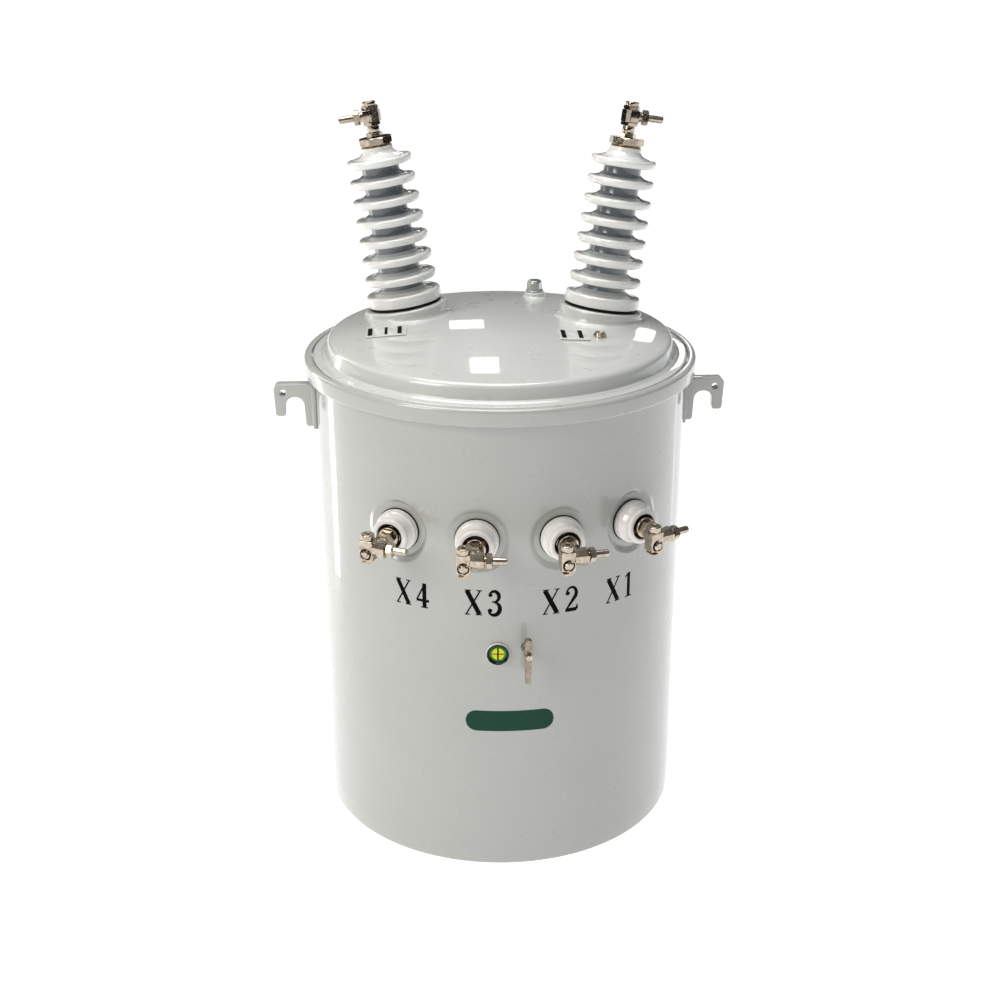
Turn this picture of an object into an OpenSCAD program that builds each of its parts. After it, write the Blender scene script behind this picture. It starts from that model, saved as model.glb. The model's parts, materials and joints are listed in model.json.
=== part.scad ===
// Pole mounted distribution transformer: a round steel tank with a clamped domed cover,
// two tilted high voltage bushings on the cover and four low voltage bushings on the front.
// Origin: centre of the tank's underside. +Z is up, and the low voltage side faces -Y.

/* [Tank] */
// Outer radius of the tank
tank_r = 235; // [195:1:285]
// Height of the tank wall, up to the cover's flange
tank_h = 609; // [505:1:735]
// Chamfer round the bottom edge of the tank
tank_chamfer = 3; // [1:0.5:5]

/* [Clamp band] */
// Outer radius of the band beyond the tank wall
band_out = 13; // [11:0.5:18]
// Height of the band
band_h = 21; // [18:0.5:28]
// Rounding of the band's upper outer edge
band_round = 5; // [2:0.5:7]
// Open slot between the band and the cover's flange
band_slot = 2; // [1.5:0.5:4]
// Gap between the two ends of the band at the back
band_split = 8; // [4:0.5:14]
// Reach of the closing ears beyond the band
ear_reach = 26; // [22:1:34]
// Thickness of each closing ear
ear_t = 5; // [4:0.5:8]
// Radius of the band's closing bolt
band_bolt_r = 4; // [3:0.5:5]

/* [Cover] */
// Thickness of the pressed cover sheet
sheet_t = 4; // [3:0.5:6]
// Height of the cover's flange
flange_h = 6; // [4:0.5:9]
// Reach of the flange beyond the tank wall
flange_reach = 1.5; // [0.5:0.5:3]
// Inset of the crown's foot from the tank wall
crown_inset = 15; // [10:1:24]
// Height of the crown's shoulder above the flange
crown_h = 21.5; // [16:0.5:30]
// Height of the dome's middle above the shoulder
dome_rise = 11.5; // [6:0.5:18]
// Turn of the whole cover against the tank
cover_turn = -6.5; // [-15:0.5:15]

/* [High voltage bushings] */
// Angle of each bushing from the cover's front
hv_spread = 115; // [100:1:130]
// Distance of the bushing's foot from the tank wall
hv_inset = 95; // [85:1:110]
// Outward tilt of each bushing
hv_tilt = 9.5; // [5:0.5:15]
// Turn of the direction in which both high voltage bushings lean, from straight outwards
hv_lean = 13; // [-20:1:20]
// Height of the seat's middle above the dome's shoulder
hv_seat_rise = 18.5; // [15:0.5:26]
// Reach of the raised seat beyond the black gasket
hv_seat_rim = 6.5; // [3:0.5:9]
// Thickness of the black gasket
hv_gasket_t = 4; // [3:0.5:6]
// Radius of the porcelain's foot skirt
hv_skirt_r = 48.5; // [40:0.5:58.5]
// Height of the foot skirt's straight side
hv_skirt_h = 15; // [12:0.5:18]
// Number of sheds above the skirt
hv_sheds = 7; // [5:1:9]
// Distance from one shed to the next
hv_pitch = 24.9; // [20.7:0.1:30]
// Radius of the lowest shed
hv_shed_low_r = 47.3; // [42:0.1:50]
// Radius of the highest shed
hv_shed_high_r = 42.3; // [36:0.1:46]
// Thickness of a shed at its rim
hv_rim = 11.4; // [9:0.1:13]
// Radius of the core at the foot
hv_core_low_r = 27.5; // [22:0.5:32]
// Radius of the core at the head
hv_core_high_r = 23.5; // [18:0.5:27]
// Radius of the porcelain's head
hv_head_r = 20; // [17:0.5:22]
// Across-corners radius of the large clamping nut
hv_nut_r = 22; // [20:0.5:26]
// Thickness of the large clamping nut
hv_nut_t = 9; // [7:0.5:12]
// Radius of the terminal stud
hv_stud_r = 6; // [5:0.5:7]
// Length of the connector's side pin beyond its nut
hv_pin_length = 19; // [12:0.5:26]

/* [Low voltage bushings] */
// Number of low voltage bushings
lv_count = 4; // [2:1:4]
// Angle from one low voltage bushing to the next
lv_step = 24.9; // [22:0.1:27]
// Turn of the group's middle from the front
lv_turn = 2.8; // [-6:0.1:6]
// Share of its place angle by which each bushing points sideways
lv_splay = 0.74; // [0.65:0.01:1]
// Distance of the low voltage bushings below the tank wall's top
lv_drop = 160.5; // [120:0.5:200]
// Reach of the pressed pad's flat face beyond the porcelain
pad_rim = 4.7; // [3:0.1:6]
// Width of the slope round the pad's flat face
pad_slope = 8; // [5:0.5:10]
// Depth of the pad's flat face below the tank wall, at its middle
pad_sink = 4.5; // [3:0.5:6]
// Radius of the porcelain's foot
lv_foot_r = 26.3; // [21.9:0.1:28]
// Radius of the porcelain's front lip
lv_lip_r = 22.2; // [20:0.1:24]
// Length of the porcelain
lv_length = 27; // [24:0.5:34]
// Radius of the opening in the porcelain's front
lv_mouth_r = 15.6; // [14.5:0.1:16.5]
// Depth of the opening in the porcelain's front
lv_mouth_depth = 11; // [8:0.5:14]
// Distance from the pad's face to the connector's bolt
lv_arm = 60; // [56:0.5:68]
// Radius of the round rod that shows in the connector's eye
lv_rod_r = 4.6; // [4:0.1:5]
// Length of the connector's side pin beyond its nut
lv_pin_length = 17; // [12:0.5:24]
// Radius of the side pins of all connectors
side_r = 4.4; // [3.5:0.1:5]

/* [Lifting lugs] */
// Thickness of each lug
lug_t = 16; // [12:0.5:20]
// Reach of the lug beyond the tank wall
lug_reach = 54; // [48:0.5:64]
// Distance of the lug's top edge below the tank wall's top
lug_drop = 36; // [24:1:60]
// Radius of the hole in the lug
lug_hole_r = 4.2; // [3:0.1:5]
// Width of the notch under the lug's arm
notch_w = 23; // [18:0.5:28]
// Width of the outer prong
prong_w = 11; // [9:0.5:14]

/* [Oil sight gauge] */
// Distance of the gauge below the tank wall's top
gauge_drop = 307.5; // [270:0.5:340]
// Angle of the gauge from the front
gauge_angle = -3.6; // [-8:0.1:0]
// Outer radius of the gauge's bezel
gauge_r = 14.4; // [12:0.1:18]
// Width of the bezel round the gauge's glass
gauge_rim = 4.4; // [2.5:0.1:5]
// Distance of the bezel's front from the tank wall
gauge_stand = 5; // [4:0.5:8]

/* [Breaker lever] */
// Distance of the lever's shaft below the tank wall's top
lever_drop = 300; // [270:0.5:340]
// Angle of the lever's shaft from the front
lever_angle = 4.6; // [3:0.1:12]
// Reach of the lever above its shaft
lever_up = 22; // [15:0.5:30]
// Reach of the lever below its shaft
lever_down = 38; // [30:0.5:50]
// Width of the lever at its wide end
lever_w = 9; // [7:0.5:12]
// Thickness of the lever
lever_t = 6; // [5:0.5:8]
// Distance from the tank wall to the lever's back
lever_stand = 18; // [15:0.5:24]
// Radius of the lever's shaft
shaft_r = 2.6; // [2:0.1:3.2]

/* [Hanger brackets] */
// Distance between the two bolt holes
hanger_spacing = 286; // [240:1:320]
// Distance of the upper bolt hole below the tank wall's top
hanger_drop = 133; // [110:1:170]
// Distance from the tank wall to the bracket's bearing face
hanger_stand = 58; // [45:1:75]
// Width of the bracket's bearing plate
hanger_w = 110; // [90:1:130]
// Height of each bracket
hanger_h = 70; // [60:1:90]
// Thickness of the bracket's plate
hanger_t = 8; // [6:0.5:10]
// Radius of the bolt hole
hanger_hole_r = 9; // [7:0.5:10]

/* [Small parts on the cover] */
// Across-corners radius of the relief plug's head
plug_r = 10.5; // [9:0.5:13]
// Angle of the relief plug from the cover's front
plug_angle = 167; // [155:1:185]
// Distance of the relief plug from the tank wall
plug_inset = 70; // [60:1:90]
// Height of the plug's seat above the dome
plug_seat_h = 7; // [4:0.5:10]
// Width of the left marker plate
plate_w = 50; // [40:1:56]
// Width by which the right marker plate is narrower
plate_less = 12; // [0:1:16]
// Depth of each marker plate
plate_d = 42; // [34:1:48]
// Radius of the small stud beside the right marker plate
button_r = 8; // [6:0.5:10]

/* [Hidden] */
$fn = 96;
seat_gap = 0.1;
run_gap = 0.06;
flat_t = 1.5;
band_in = 0.2;
lv_gasket_t = 1.5;
round_steps = 6;
dome_steps = 14;

porcelain_grey = "#D9DAD8";
tank_grey = "#BFC1BE";
cover_grey = "#D2D3D0";
nickel = "#B9AE9F";
rubber_black = "#1A1A1A";

crown_r = tank_r - crown_inset;
shoulder_r = crown_r - 6;
flange_r = tank_r + flange_reach;
band_top_z = tank_h + flange_h;
shoulder_z = band_top_z + crown_h;
dome_top_z = shoulder_z + dome_rise;
dome_sphere_r = (shoulder_r * shoulder_r + dome_rise * dome_rise) / (2 * dome_rise);
hv_foot_r = tank_r - hv_inset;
hv_seat_z = shoulder_z + hv_seat_rise;
hv_gasket_r = hv_skirt_r - 2;
hv_seat_r = hv_gasket_r + hv_seat_rim;
hv_first_shed = hv_gasket_t + hv_skirt_h + 17.7;
hv_head_low = hv_first_shed + (hv_sheds - 1) * hv_pitch + hv_rim / 2 + 8;
hv_head_top = hv_head_low + 4.5;
hv_ring_t = 2.5;
hv_nut_low = hv_head_top + hv_ring_t;
hv_nut_top = hv_nut_low + hv_nut_t;
hv_block_h = 15;
hv_block_w = 20;
hex_collar_r = 10.5;
hex_washer_r = 12;
hex_cap_r = 10.8;
collar_h = 5.5;
barrel_h = 9;
washer_h = 4.5;
hv_block_low = hv_nut_top + collar_h + barrel_h + washer_h;
lv_z = tank_h - lv_drop;
pad_face_r = lv_foot_r + pad_rim;
pad_outer_r = pad_face_r + pad_slope;
pad_reach = 9;
lv_disc_r = lv_mouth_r - 2.6;
lug_top_z = tank_h - lug_drop;
lug_hole_x = tank_r + lug_reach - 12;
lug_hole_z = lug_top_z - 11;
lug_bottom_z = lug_top_z - 56;
prong_bottom_z = lug_top_z - 42;
notch_top_z = lug_top_z - 17;
notch_round = notch_w / 2 - 0.5;
gauge_z = tank_h - gauge_drop;
gauge_glass_r = gauge_r - gauge_rim;
lever_z = tank_h - lever_drop;
boss_r = 6;
hanger_high_z = tank_h - hanger_drop;
plug_foot_r = tank_r - plug_inset;
plug_seat_r = plug_r + 3.5;
plug_h = 10;
jaw_x = -11;
jaw_w = 17;
jaw_t = 16;
jaw_low = -21;
jaw_high = 8.5;
jaw_rod_y = -8;
screw_r = 3;
screw_depth = 8;
side_depth = 7;
barrel_end = 13;
connector_back = 10;

// Height of the dome's upper face at a distance r from the cover's axis
function dome_z(r) = dome_top_z - dome_sphere_r + sqrt(dome_sphere_r * dome_sphere_r - r * r);

// Points of an arc in the plane, from angle a to angle b
function arc(cx, cy, r, a, b, n = round_steps) =
    [for (i = [0:n]) [cx + r * cos(a + (b - a) * i / n), cy + r * sin(a + (b - a) * i / n)]];

// Place angle of low voltage bushing i, counted from the left, and the angle it points at
function lv_place(i) = lv_turn + (i - (lv_count - 1) / 2) * lv_step;
function lv_point(i) = lv_turn + lv_splay * (i - (lv_count - 1) / 2) * lv_step;

// Puts children on low voltage bushing i: local +Z points out of the pad's flat face
module at_lv(i) {
    translate([tank_r * sin(lv_place(i)), -tank_r * cos(lv_place(i)), lv_z])
        rotate([90, 0, lv_point(i)])
            translate([0, 0, -pad_sink])
                children();
}

// Puts children on a high voltage seat: side is -1 for the left one and 1 for the right one
module at_hv(side) {
    rotate([0, 0, cover_turn + side * hv_spread])
        translate([0, -hv_foot_r, hv_seat_z])
            rotate([hv_tilt, 0, hv_lean])
                children();
}

// Turns a high voltage terminal on its stud, so that its side pin points straight sideways
module at_terminal(side) {
    at_hv(side)
        rotate([0, 0, -cover_turn - side * hv_spread - hv_lean])
            children();
}

// Puts children on the tank's front at an angle and a height: local +Z points outwards
module at_front(angle, z) {
    rotate([0, 0, angle])
        translate([0, -tank_r, z])
            rotate([90, 0, 0])
                children();
}

// Puts children on the dome at a distance across and in front of a high voltage seat,
// level with the dome's slope and square to the tank's front
module beside_seat(side, across, front) {
    seat_angle = cover_turn + side * hv_spread;
    x = hv_foot_r * sin(seat_angle) + across;
    y = -hv_foot_r * cos(seat_angle) - front;
    r = norm([x, y]);
    angle = atan2(x, -y);
    translate([x, y, dome_z(r)])
        rotate([0, 0, angle]) rotate([asin(r / dome_sphere_r), 0, 0]) rotate([0, 0, -angle])
            children();
}

module hex_bar(r, h) {
    cylinder(r = r, h = h, $fn = 6);
}

// What the tank wall takes out of a piece that is welded or seated on it
module tank_cut() {
    cylinder(r = tank_r + seat_gap, h = tank_h + 100, $fn = 720);
}

// ---- Tank ----

// A pad stands out of the wall on its outer side and is pressed into it on its inner side
module lv_pad_raised() {
    translate([0, 0, -pad_reach]) cylinder(r1 = pad_outer_r, r2 = pad_face_r, h = pad_reach);
}

module lv_pad_pressed() {
    cylinder(r1 = pad_face_r, r2 = pad_outer_r, h = pad_reach);
}

module tank_body() {
    color(tank_grey)
        difference() {
            union() {
                cylinder(r1 = tank_r - tank_chamfer, r2 = tank_r, h = tank_chamfer);
                translate([0, 0, tank_chamfer])
                    cylinder(r = tank_r, h = tank_h - tank_chamfer);
                for (i = [0:lv_count - 1]) at_lv(i) lv_pad_raised();
            }
            for (i = [0:lv_count - 1]) at_lv(i) lv_pad_pressed();
        }
}

// ---- Clamp band ----

module band_profile() {
    inner = tank_r + band_in;
    slot_in = flange_r + band_slot;
    outer = tank_r + band_out;
    top = band_top_z;
    low = top - band_h;
    polygon(concat(
        [[inner, low]],
        arc(outer - 2, low + 2, 2, -90, 0, 3),
        arc(outer - band_round, top - band_round, band_round, 0, 90),
        [[slot_in, top], [slot_in, tank_h - 1], [inner, tank_h - 1]]));
}

module band_ears() {
    ear_low = band_top_z - band_h;
    for (side = [-1, 1])
        translate([side * (band_split + ear_t) / 2 - ear_t / 2, tank_r + band_out / 2, ear_low])
            cube([ear_t, ear_reach, band_h - band_round]);
}

module at_band_bolt() {
    translate([0, tank_r + band_out / 2 + ear_reach - 9, band_top_z - (band_h + band_round) / 2])
        rotate([0, 90, 0])
            children();
}

module clamp_band() {
    color(tank_grey)
        difference() {
            union() {
                rotate_extrude() band_profile();
                band_ears();
            }
            translate([-band_split / 2, 0, 0]) cube([band_split, tank_r * 2, tank_h * 2]);
            at_band_bolt() translate([0, 0, -50]) cylinder(r = band_bolt_r + seat_gap, h = 100);
        }
}

module band_bolt() {
    grip = band_split + 2 * ear_t;
    color(nickel)
        at_band_bolt() {
            translate([0, 0, -grip / 2 - 8]) cylinder(r = band_bolt_r, h = grip + 16);
            translate([0, 0, -grip / 2 - 6]) hex_bar(band_bolt_r * 1.85, 6);
            translate([0, 0, grip / 2]) hex_bar(band_bolt_r * 1.85, 6);
        }
}

// ---- Cover ----

module cover_outline() {
    top = band_top_z;
    polygon(concat(
        [[0, tank_h], [flange_r, tank_h]],
        arc(flange_r - 1.5, top - 1.5, 1.5, 0, 90, 3),
        [[crown_r + 5, top], [crown_r + 4, top + 1.5], [crown_r + 1, top + 3.5], [crown_r, top + 6]],
        arc(shoulder_r - 1, shoulder_z - 6.5, 6, 10, 72),
        [for (i = [0:dome_steps])
            let (r = (shoulder_r - 4) * (1 - i / dome_steps)) [r, dome_z(r)]]));
}

module cover_hollow() {
    hollow_r = crown_r - sheet_t - 3;
    polygon(concat(
        [[0, tank_h - 1], [hollow_r, tank_h - 1], [hollow_r, shoulder_z - sheet_t - 8]],
        [for (i = [0:dome_steps])
            let (r = (hollow_r - 6) * (1 - i / dome_steps)) [r, dome_z(r) - sheet_t]]));
}

module cover() {
    color(cover_grey)
        difference() {
            rotate_extrude() cover_outline();
            rotate_extrude() cover_hollow();
        }
}

module hv_seat() {
    seat_depth = hv_seat_rise + 4;
    translate([0, 0, -seat_depth]) cylinder(r = hv_seat_r, h = seat_depth - 2);
    translate([0, 0, -2.01]) cylinder(r1 = hv_seat_r, r2 = hv_seat_r - 2, h = 2.01);
}

// Raised seats welded on the dome: two tilted ones for the bushings and a small one for the plug
module cover_seats() {
    color(cover_grey)
        difference() {
            union() {
                for (side = [-1, 1]) at_hv(side) hv_seat();
                at_plug() translate([0, 0, -plug_seat_h - 1]) cylinder(r = plug_seat_r, h = plug_seat_h + 1);
            }
            translate([0, 0, seat_gap]) rotate_extrude($fn = 720) cover_outline();
        }
}

// Puts children on the top of the plug's seat
module at_plug() {
    rotate([0, 0, cover_turn + plug_angle])
        translate([0, -plug_foot_r, dome_z(plug_foot_r) + plug_seat_h])
            children();
}

module relief_plug() {
    color(nickel)
        at_plug() {
            cylinder(r = plug_r + 1, h = 3);
            translate([0, 0, 3]) hex_bar(plug_r, plug_h);
            translate([0, 0, 3 + plug_h]) cylinder(r1 = plug_r * 0.86, r2 = plug_r * 0.7, h = 2.5);
        }
}

// A flat plate on the dome, beside the high voltage seat of that side
module marker_plate(side, across, front, w) {
    beside_seat(side, across, front)
        translate([-w / 2, -plate_d / 2, seat_gap]) cube([w, plate_d, flat_t]);
}

module marker_plates() {
    color("#E4E4E0") {
        marker_plate(-1, -24, 90, plate_w);
        marker_plate(1, -44, 97, plate_w - plate_less);
    }
}

module cover_button() {
    color(nickel)
        beside_seat(1, -12, 97)
            translate([0, 0, seat_gap]) {
                cylinder(r = button_r, h = 3);
                translate([0, 0, 3]) cylinder(r1 = button_r, r2 = button_r - 2, h = 2);
            }
}

// ---- High voltage bushings ----

// Radii of the core and of the shed rims at a height above the seat
function hv_along(z) = (z - hv_first_shed) / ((hv_sheds - 1) * hv_pitch);
function hv_core_r(z) = hv_core_low_r + (hv_core_high_r - hv_core_low_r) * hv_along(z);
function hv_shed_r(z) = hv_shed_low_r + (hv_shed_high_r - hv_shed_low_r) * hv_along(z);

function shed_points(z) =
    let (edge = hv_shed_r(z), core = hv_core_r(z), half = hv_rim / 2, bend = 3.8)
    concat(
        [[core, z - half]],
        arc(edge - bend, z - half + bend, bend, -90, 0, 4),
        arc(edge - bend, z + half - bend, bend, 0, 65, 4),
        [[core + 9, z + half + 3.6], [core + 3.5, z + half + 6], [core, z + half + 9]]);

module hv_porcelain(side) {
    foot = hv_gasket_t;
    core = hv_core_r(hv_first_shed);
    outline = concat(
        [[0, foot], [hv_skirt_r - 1.5, foot], [hv_skirt_r, foot + 1.5]],
        arc(hv_skirt_r - 3.5, foot + hv_skirt_h - 3.5, 3.5, 0, 65, 4),
        [[core + 9, foot + hv_skirt_h + 3], [core + 3.5, foot + hv_skirt_h + 5.4],
            [core, foot + hv_skirt_h + 8.4]],
        [for (k = [0:hv_sheds - 1]) each shed_points(hv_first_shed + k * hv_pitch)],
        [[hv_head_r, hv_head_low + 2], [hv_head_r, hv_head_top - 1], [hv_head_r - 1, hv_head_top],
            [0, hv_head_top]]);
    color(porcelain_grey)
        at_hv(side) rotate_extrude() polygon(outline);
}

module hv_gaskets() {
    color(rubber_black)
        for (side = [-1, 1]) at_hv(side) cylinder(r = hv_gasket_r, h = hv_gasket_t);
}

module hv_rings() {
    color("#B08A3C")
        for (side = [-1, 1])
            at_hv(side) translate([0, 0, hv_head_top]) cylinder(r = hv_head_r - 1.5, h = hv_ring_t);
}

module hv_nut(side) {
    color(nickel)
        at_hv(side) translate([0, 0, hv_nut_low]) cylinder(r = hv_nut_r, h = hv_nut_t, $fn = 8);
}

// The stud stands on the large nut: a hex collar, a round barrel and a thin hex washer
module hv_stud(side) {
    color(nickel)
        at_hv(side) translate([0, 0, hv_nut_top]) {
            hex_bar(hex_collar_r, collar_h);
            translate([0, 0, collar_h]) cylinder(r = hv_stud_r + 1.8, h = barrel_h);
            translate([0, 0, collar_h + barrel_h]) hex_bar(hex_washer_r, washer_h);
            translate([0, 0, collar_h + barrel_h + washer_h]) cylinder(r = hv_stud_r, h = hv_block_h + 12);
        }
}

module hv_connector(side) {
    color(nickel)
        at_terminal(side) translate([0, 0, hv_block_low])
            difference() {
                union() {
                    translate([-hv_block_w / 2, -hv_block_w / 2, 0])
                        cube([hv_block_w, hv_block_w, hv_block_h]);
                    translate([0, 0, hv_block_h / 2]) rotate([0, 90, side > 0 ? 0 : 180])
                        cylinder(r = 6.5, h = hv_block_w / 2 + 3);
                }
                translate([0, 0, -1]) cylinder(r = hv_stud_r + run_gap, h = hv_block_h + 2);
                translate([side * (hv_block_w / 2 + 4), 0, hv_block_h / 2]) rotate([0, side * -90, 0])
                    cylinder(r = side_r + run_gap, h = side_depth);
            }
}

// Side bolt of each high voltage connector: a hex nut and a plain round pin
module hv_pins() {
    color(nickel)
        for (side = [-1, 1])
            at_terminal(side) translate([side * (hv_block_w / 2 + 3), 0, hv_block_low + hv_block_h / 2])
                rotate([0, side * 90, 0]) {
                    translate([0, 0, -side_depth + 1.5]) cylinder(r = side_r, h = side_depth + 2);
                    translate([0, 0, 1]) hex_bar(9.5, 8);
                    translate([0, 0, 9]) cylinder(r = side_r, h = hv_pin_length);
                }
}

// Cap nut that holds the connector down on the stud
module hv_cap(side) {
    color(nickel)
        at_terminal(side) translate([0, 0, hv_block_low + hv_block_h])
            difference() {
                union() {
                    hex_bar(hex_cap_r, 5);
                    translate([0, 0, 5]) cylinder(r = hex_cap_r - 2.3, h = 5);
                }
                translate([0, 0, -1]) cylinder(r = hv_stud_r + run_gap, h = 12);
            }
}

// ---- Low voltage bushings ----

module lv_gaskets() {
    color(rubber_black)
        for (i = [0:lv_count - 1]) at_lv(i) cylinder(r = lv_foot_r + 0.9, h = lv_gasket_t);
}

module lv_porcelain(i) {
    foot = lv_gasket_t;
    lip = lv_length;
    bead = 4.2;
    floor_z = lip - lv_mouth_depth;
    outline = concat(
        [[0, foot], [lv_foot_r, foot], [lv_foot_r, foot + 3.5], [lv_foot_r - 0.9, foot + 4.3],
            [lv_foot_r - 0.4, foot + 5.6], [lv_foot_r - 0.7, foot + 8], [lv_foot_r - 2, foot + 9.2],
            [lv_foot_r - 3.2, foot + 12], [lv_lip_r - 1.6, foot + 16], [lv_lip_r - 1.3, lip - 7]],
        arc(lv_lip_r - bead, lip - bead, bead, -20, 90, 7),
        [[lv_mouth_r + 1.2, lip], [lv_mouth_r, lip - 1.2], [lv_mouth_r, floor_z], [0, floor_z]]);
    color("#E3DFDA")
        at_lv(i) rotate_extrude() polygon(outline);
}

// The stud stands on the floor of the porcelain's mouth and ends in the connector
module lv_stud(i) {
    floor_z = lv_length - lv_mouth_depth;
    color(nickel)
        at_lv(i) {
            translate([0, 0, floor_z]) cylinder(r = lv_disc_r, h = 5);
            translate([0, 0, floor_z + 5]) cylinder(r = lv_disc_r - 1.5, h = 5);
            translate([0, 0, floor_z + 10]) cylinder(r1 = lv_disc_r, r2 = lv_disc_r - 0.8, h = 4);
            translate([0, 0, floor_z + 14]) hex_bar(hex_collar_r, lv_arm - connector_back - floor_z - 14);
        }
}

// Connector: a barrel across the stud with a hooked jaw on its left end
module lv_connector(i) {
    color(nickel)
        at_lv(i) translate([0, 0, lv_arm])
            difference() {
                union() {
                    translate([-7, 0, 0]) rotate([0, 90, 0]) cylinder(r = 8.5, h = barrel_end + 7);
                    translate([-8, -8.5, -connector_back]) cube([16, 17, connector_back]);
                    translate([jaw_x, 0, -jaw_t / 2]) linear_extrude(jaw_t) jaw_outline();
                }
                translate([jaw_x, jaw_rod_y, -jaw_t]) cylinder(r = lv_rod_r + run_gap, h = 2 * jaw_t);
                translate([jaw_x, jaw_rod_y, 0]) cylinder(r = lv_rod_r + 2, h = jaw_t);
                translate([jaw_x - jaw_w, jaw_rod_y - lv_rod_r - 4, -jaw_t]) cube([jaw_w + 3, 2, 2 * jaw_t]);
                translate([jaw_x, jaw_high - screw_depth, 0]) rotate([-90, 0, 0])
                    cylinder(r = screw_r + run_gap, h = 50);
                translate([barrel_end - side_depth, 0, 0]) rotate([0, 90, 0])
                    cylinder(r = side_r + run_gap, h = 20);
            }
}

// Outline of the jaw, seen from the front: square shoulders above and a six-sided hook below
module jaw_outline() {
    half = jaw_w / 2;
    polygon([[-half, jaw_high], [half, jaw_high], [half, jaw_low + 5], [half - 5, jaw_low],
        [-half + 6, jaw_low], [-half, jaw_low + 6]]);
}

// Round rods that show in the eyes of the jaws
module lv_rods() {
    color(nickel)
        for (i = [0:lv_count - 1])
            at_lv(i) translate([jaw_x, jaw_rod_y, lv_arm - jaw_t / 2])
                cylinder(r = lv_rod_r, h = jaw_t + 1.5);
}

// Clamping screw of the jaw: a round cap with a socket above and a hex below
module lv_screws() {
    color(nickel)
        for (i = [0:lv_count - 1])
            at_lv(i) translate([jaw_x, jaw_high, lv_arm]) rotate([-90, 0, 0])
                difference() {
                    union() {
                        cylinder(r = 8, h = 7.5);
                        translate([0, 0, -screw_depth + 0.5]) cylinder(r = screw_r, h = screw_depth + 2);
                    }
                    translate([0, 0, 4]) cylinder(r = 2.6, h = 10, $fn = 6);
                }
}

// Side bolt of the connector: a hex nut and a plain round pin
module lv_pins() {
    color(nickel)
        for (i = [0:lv_count - 1])
            at_lv(i) translate([barrel_end, 0, lv_arm]) rotate([0, 90, 0]) {
                translate([0, 0, -side_depth + 0.5]) cylinder(r = side_r, h = side_depth + 2);
                translate([0, 0, 2]) hex_bar(9, 7);
                translate([0, 0, 9]) cylinder(r = side_r, h = lv_pin_length);
            }
}

// ---- Lifting lugs ----

module lug_outline() {
    out = tank_r + lug_reach;
    prong_in = out - 4 - prong_w;
    leg_w = lug_reach - 4 - prong_w - notch_w - 2;
    difference() {
        polygon(concat(
            [[tank_r - 20, lug_top_z], [out - 6, lug_top_z]],
            arc(out - 7, lug_top_z - 7, 7, 80, 0, 5),
            arc(out - 8, prong_bottom_z + 4, 4, 0, -90, 4),
            arc(prong_in + 4, prong_bottom_z + 4, 4, -90, -180, 4),
            arc(prong_in - notch_round, notch_top_z - notch_round, notch_round, 0, 90, 7),
            arc(prong_in - notch_w + notch_round, notch_top_z - notch_round, notch_round, 90, 180, 7),
            arc(tank_r + leg_w - 4, lug_bottom_z + 4, 4, 0, -90, 4),
            [[tank_r - 20, lug_bottom_z]]));
        translate([lug_hole_x, lug_hole_z]) circle(r = lug_hole_r, $fn = 48);
    }
}

module lifting_lug(side) {
    color(tank_grey)
        difference() {
            mirror([side < 0 ? 1 : 0, 0, 0])
                union() {
                    translate([0, lug_t / 2, 0]) rotate([90, 0, 0])
                        linear_extrude(lug_t) lug_outline();
                    intersection() {
                        translate([0, 0, lug_bottom_z - 2])
                            cylinder(r = tank_r + 5, h = lug_top_z - lug_bottom_z);
                        translate([0, -17, lug_bottom_z - 2])
                            cube([tank_r + 20, 34, lug_top_z - lug_bottom_z]);
                    }
                }
            tank_cut();
        }
}

// ---- Oil sight gauge ----

module gauge_bezel() {
    color("#20241F")
        difference() {
            at_front(gauge_angle, gauge_z)
                difference() {
                    union() {
                        translate([0, 0, -3]) cylinder(r = gauge_r, h = gauge_stand + 1.5);
                        translate([0, 0, gauge_stand - 1.5])
                            cylinder(r1 = gauge_r, r2 = gauge_r - 1.5, h = 1.5);
                    }
                    translate([0, 0, 1.5])
                        cylinder(r1 = gauge_glass_r, r2 = gauge_r - 2, h = gauge_stand);
                }
            tank_cut();
        }
}

module gauge_glass() {
    color("#2E8B3A")
        at_front(gauge_angle, gauge_z)
            translate([0, 0, 1.5]) cylinder(r = gauge_glass_r - run_gap, h = 1.4);
}

// ---- Breaker lever ----

module lever_boss() {
    color(nickel)
        difference() {
            at_front(lever_angle, lever_z)
                difference() {
                    union() {
                        translate([0, 0, -3]) cylinder(r = boss_r, h = 8);
                        translate([0, 0, 5]) hex_bar(boss_r - 0.5, 6);
                    }
                    translate([0, 0, 2]) cylinder(r = shaft_r + run_gap, h = 20);
                }
            tank_cut();
        }
}

module lever_blade() {
    low_w = lever_w * 0.72;
    difference() {
        union() {
            linear_extrude(lever_t)
                polygon(concat(
                    arc(0, lever_up - lever_w / 2, lever_w / 2, 0, 180, 8),
                    [[-low_w / 2, -lever_down + 2], [-low_w / 2 + 2, -lever_down],
                        [low_w / 2 - 2, -lever_down], [low_w / 2, -lever_down + 2]]));
            cylinder(r = lever_w / 2 + 0.5, h = lever_t + 1);
        }
        translate([0, 0, -1]) cylinder(r = shaft_r + run_gap, h = lever_t + 4);
    }
}

module lever() {
    color(nickel)
        at_front(lever_angle, lever_z) translate([0, 0, lever_stand]) lever_blade();
}

module lever_shaft() {
    color(nickel)
        at_front(lever_angle, lever_z) {
            translate([0, 0, 3]) cylinder(r = shaft_r, h = lever_stand + lever_t + 4);
            translate([0, 0, lever_stand + lever_t + 1]) hex_bar(shaft_r + 1.6, 4);
        }
}

// ---- Hanger brackets ----

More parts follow.
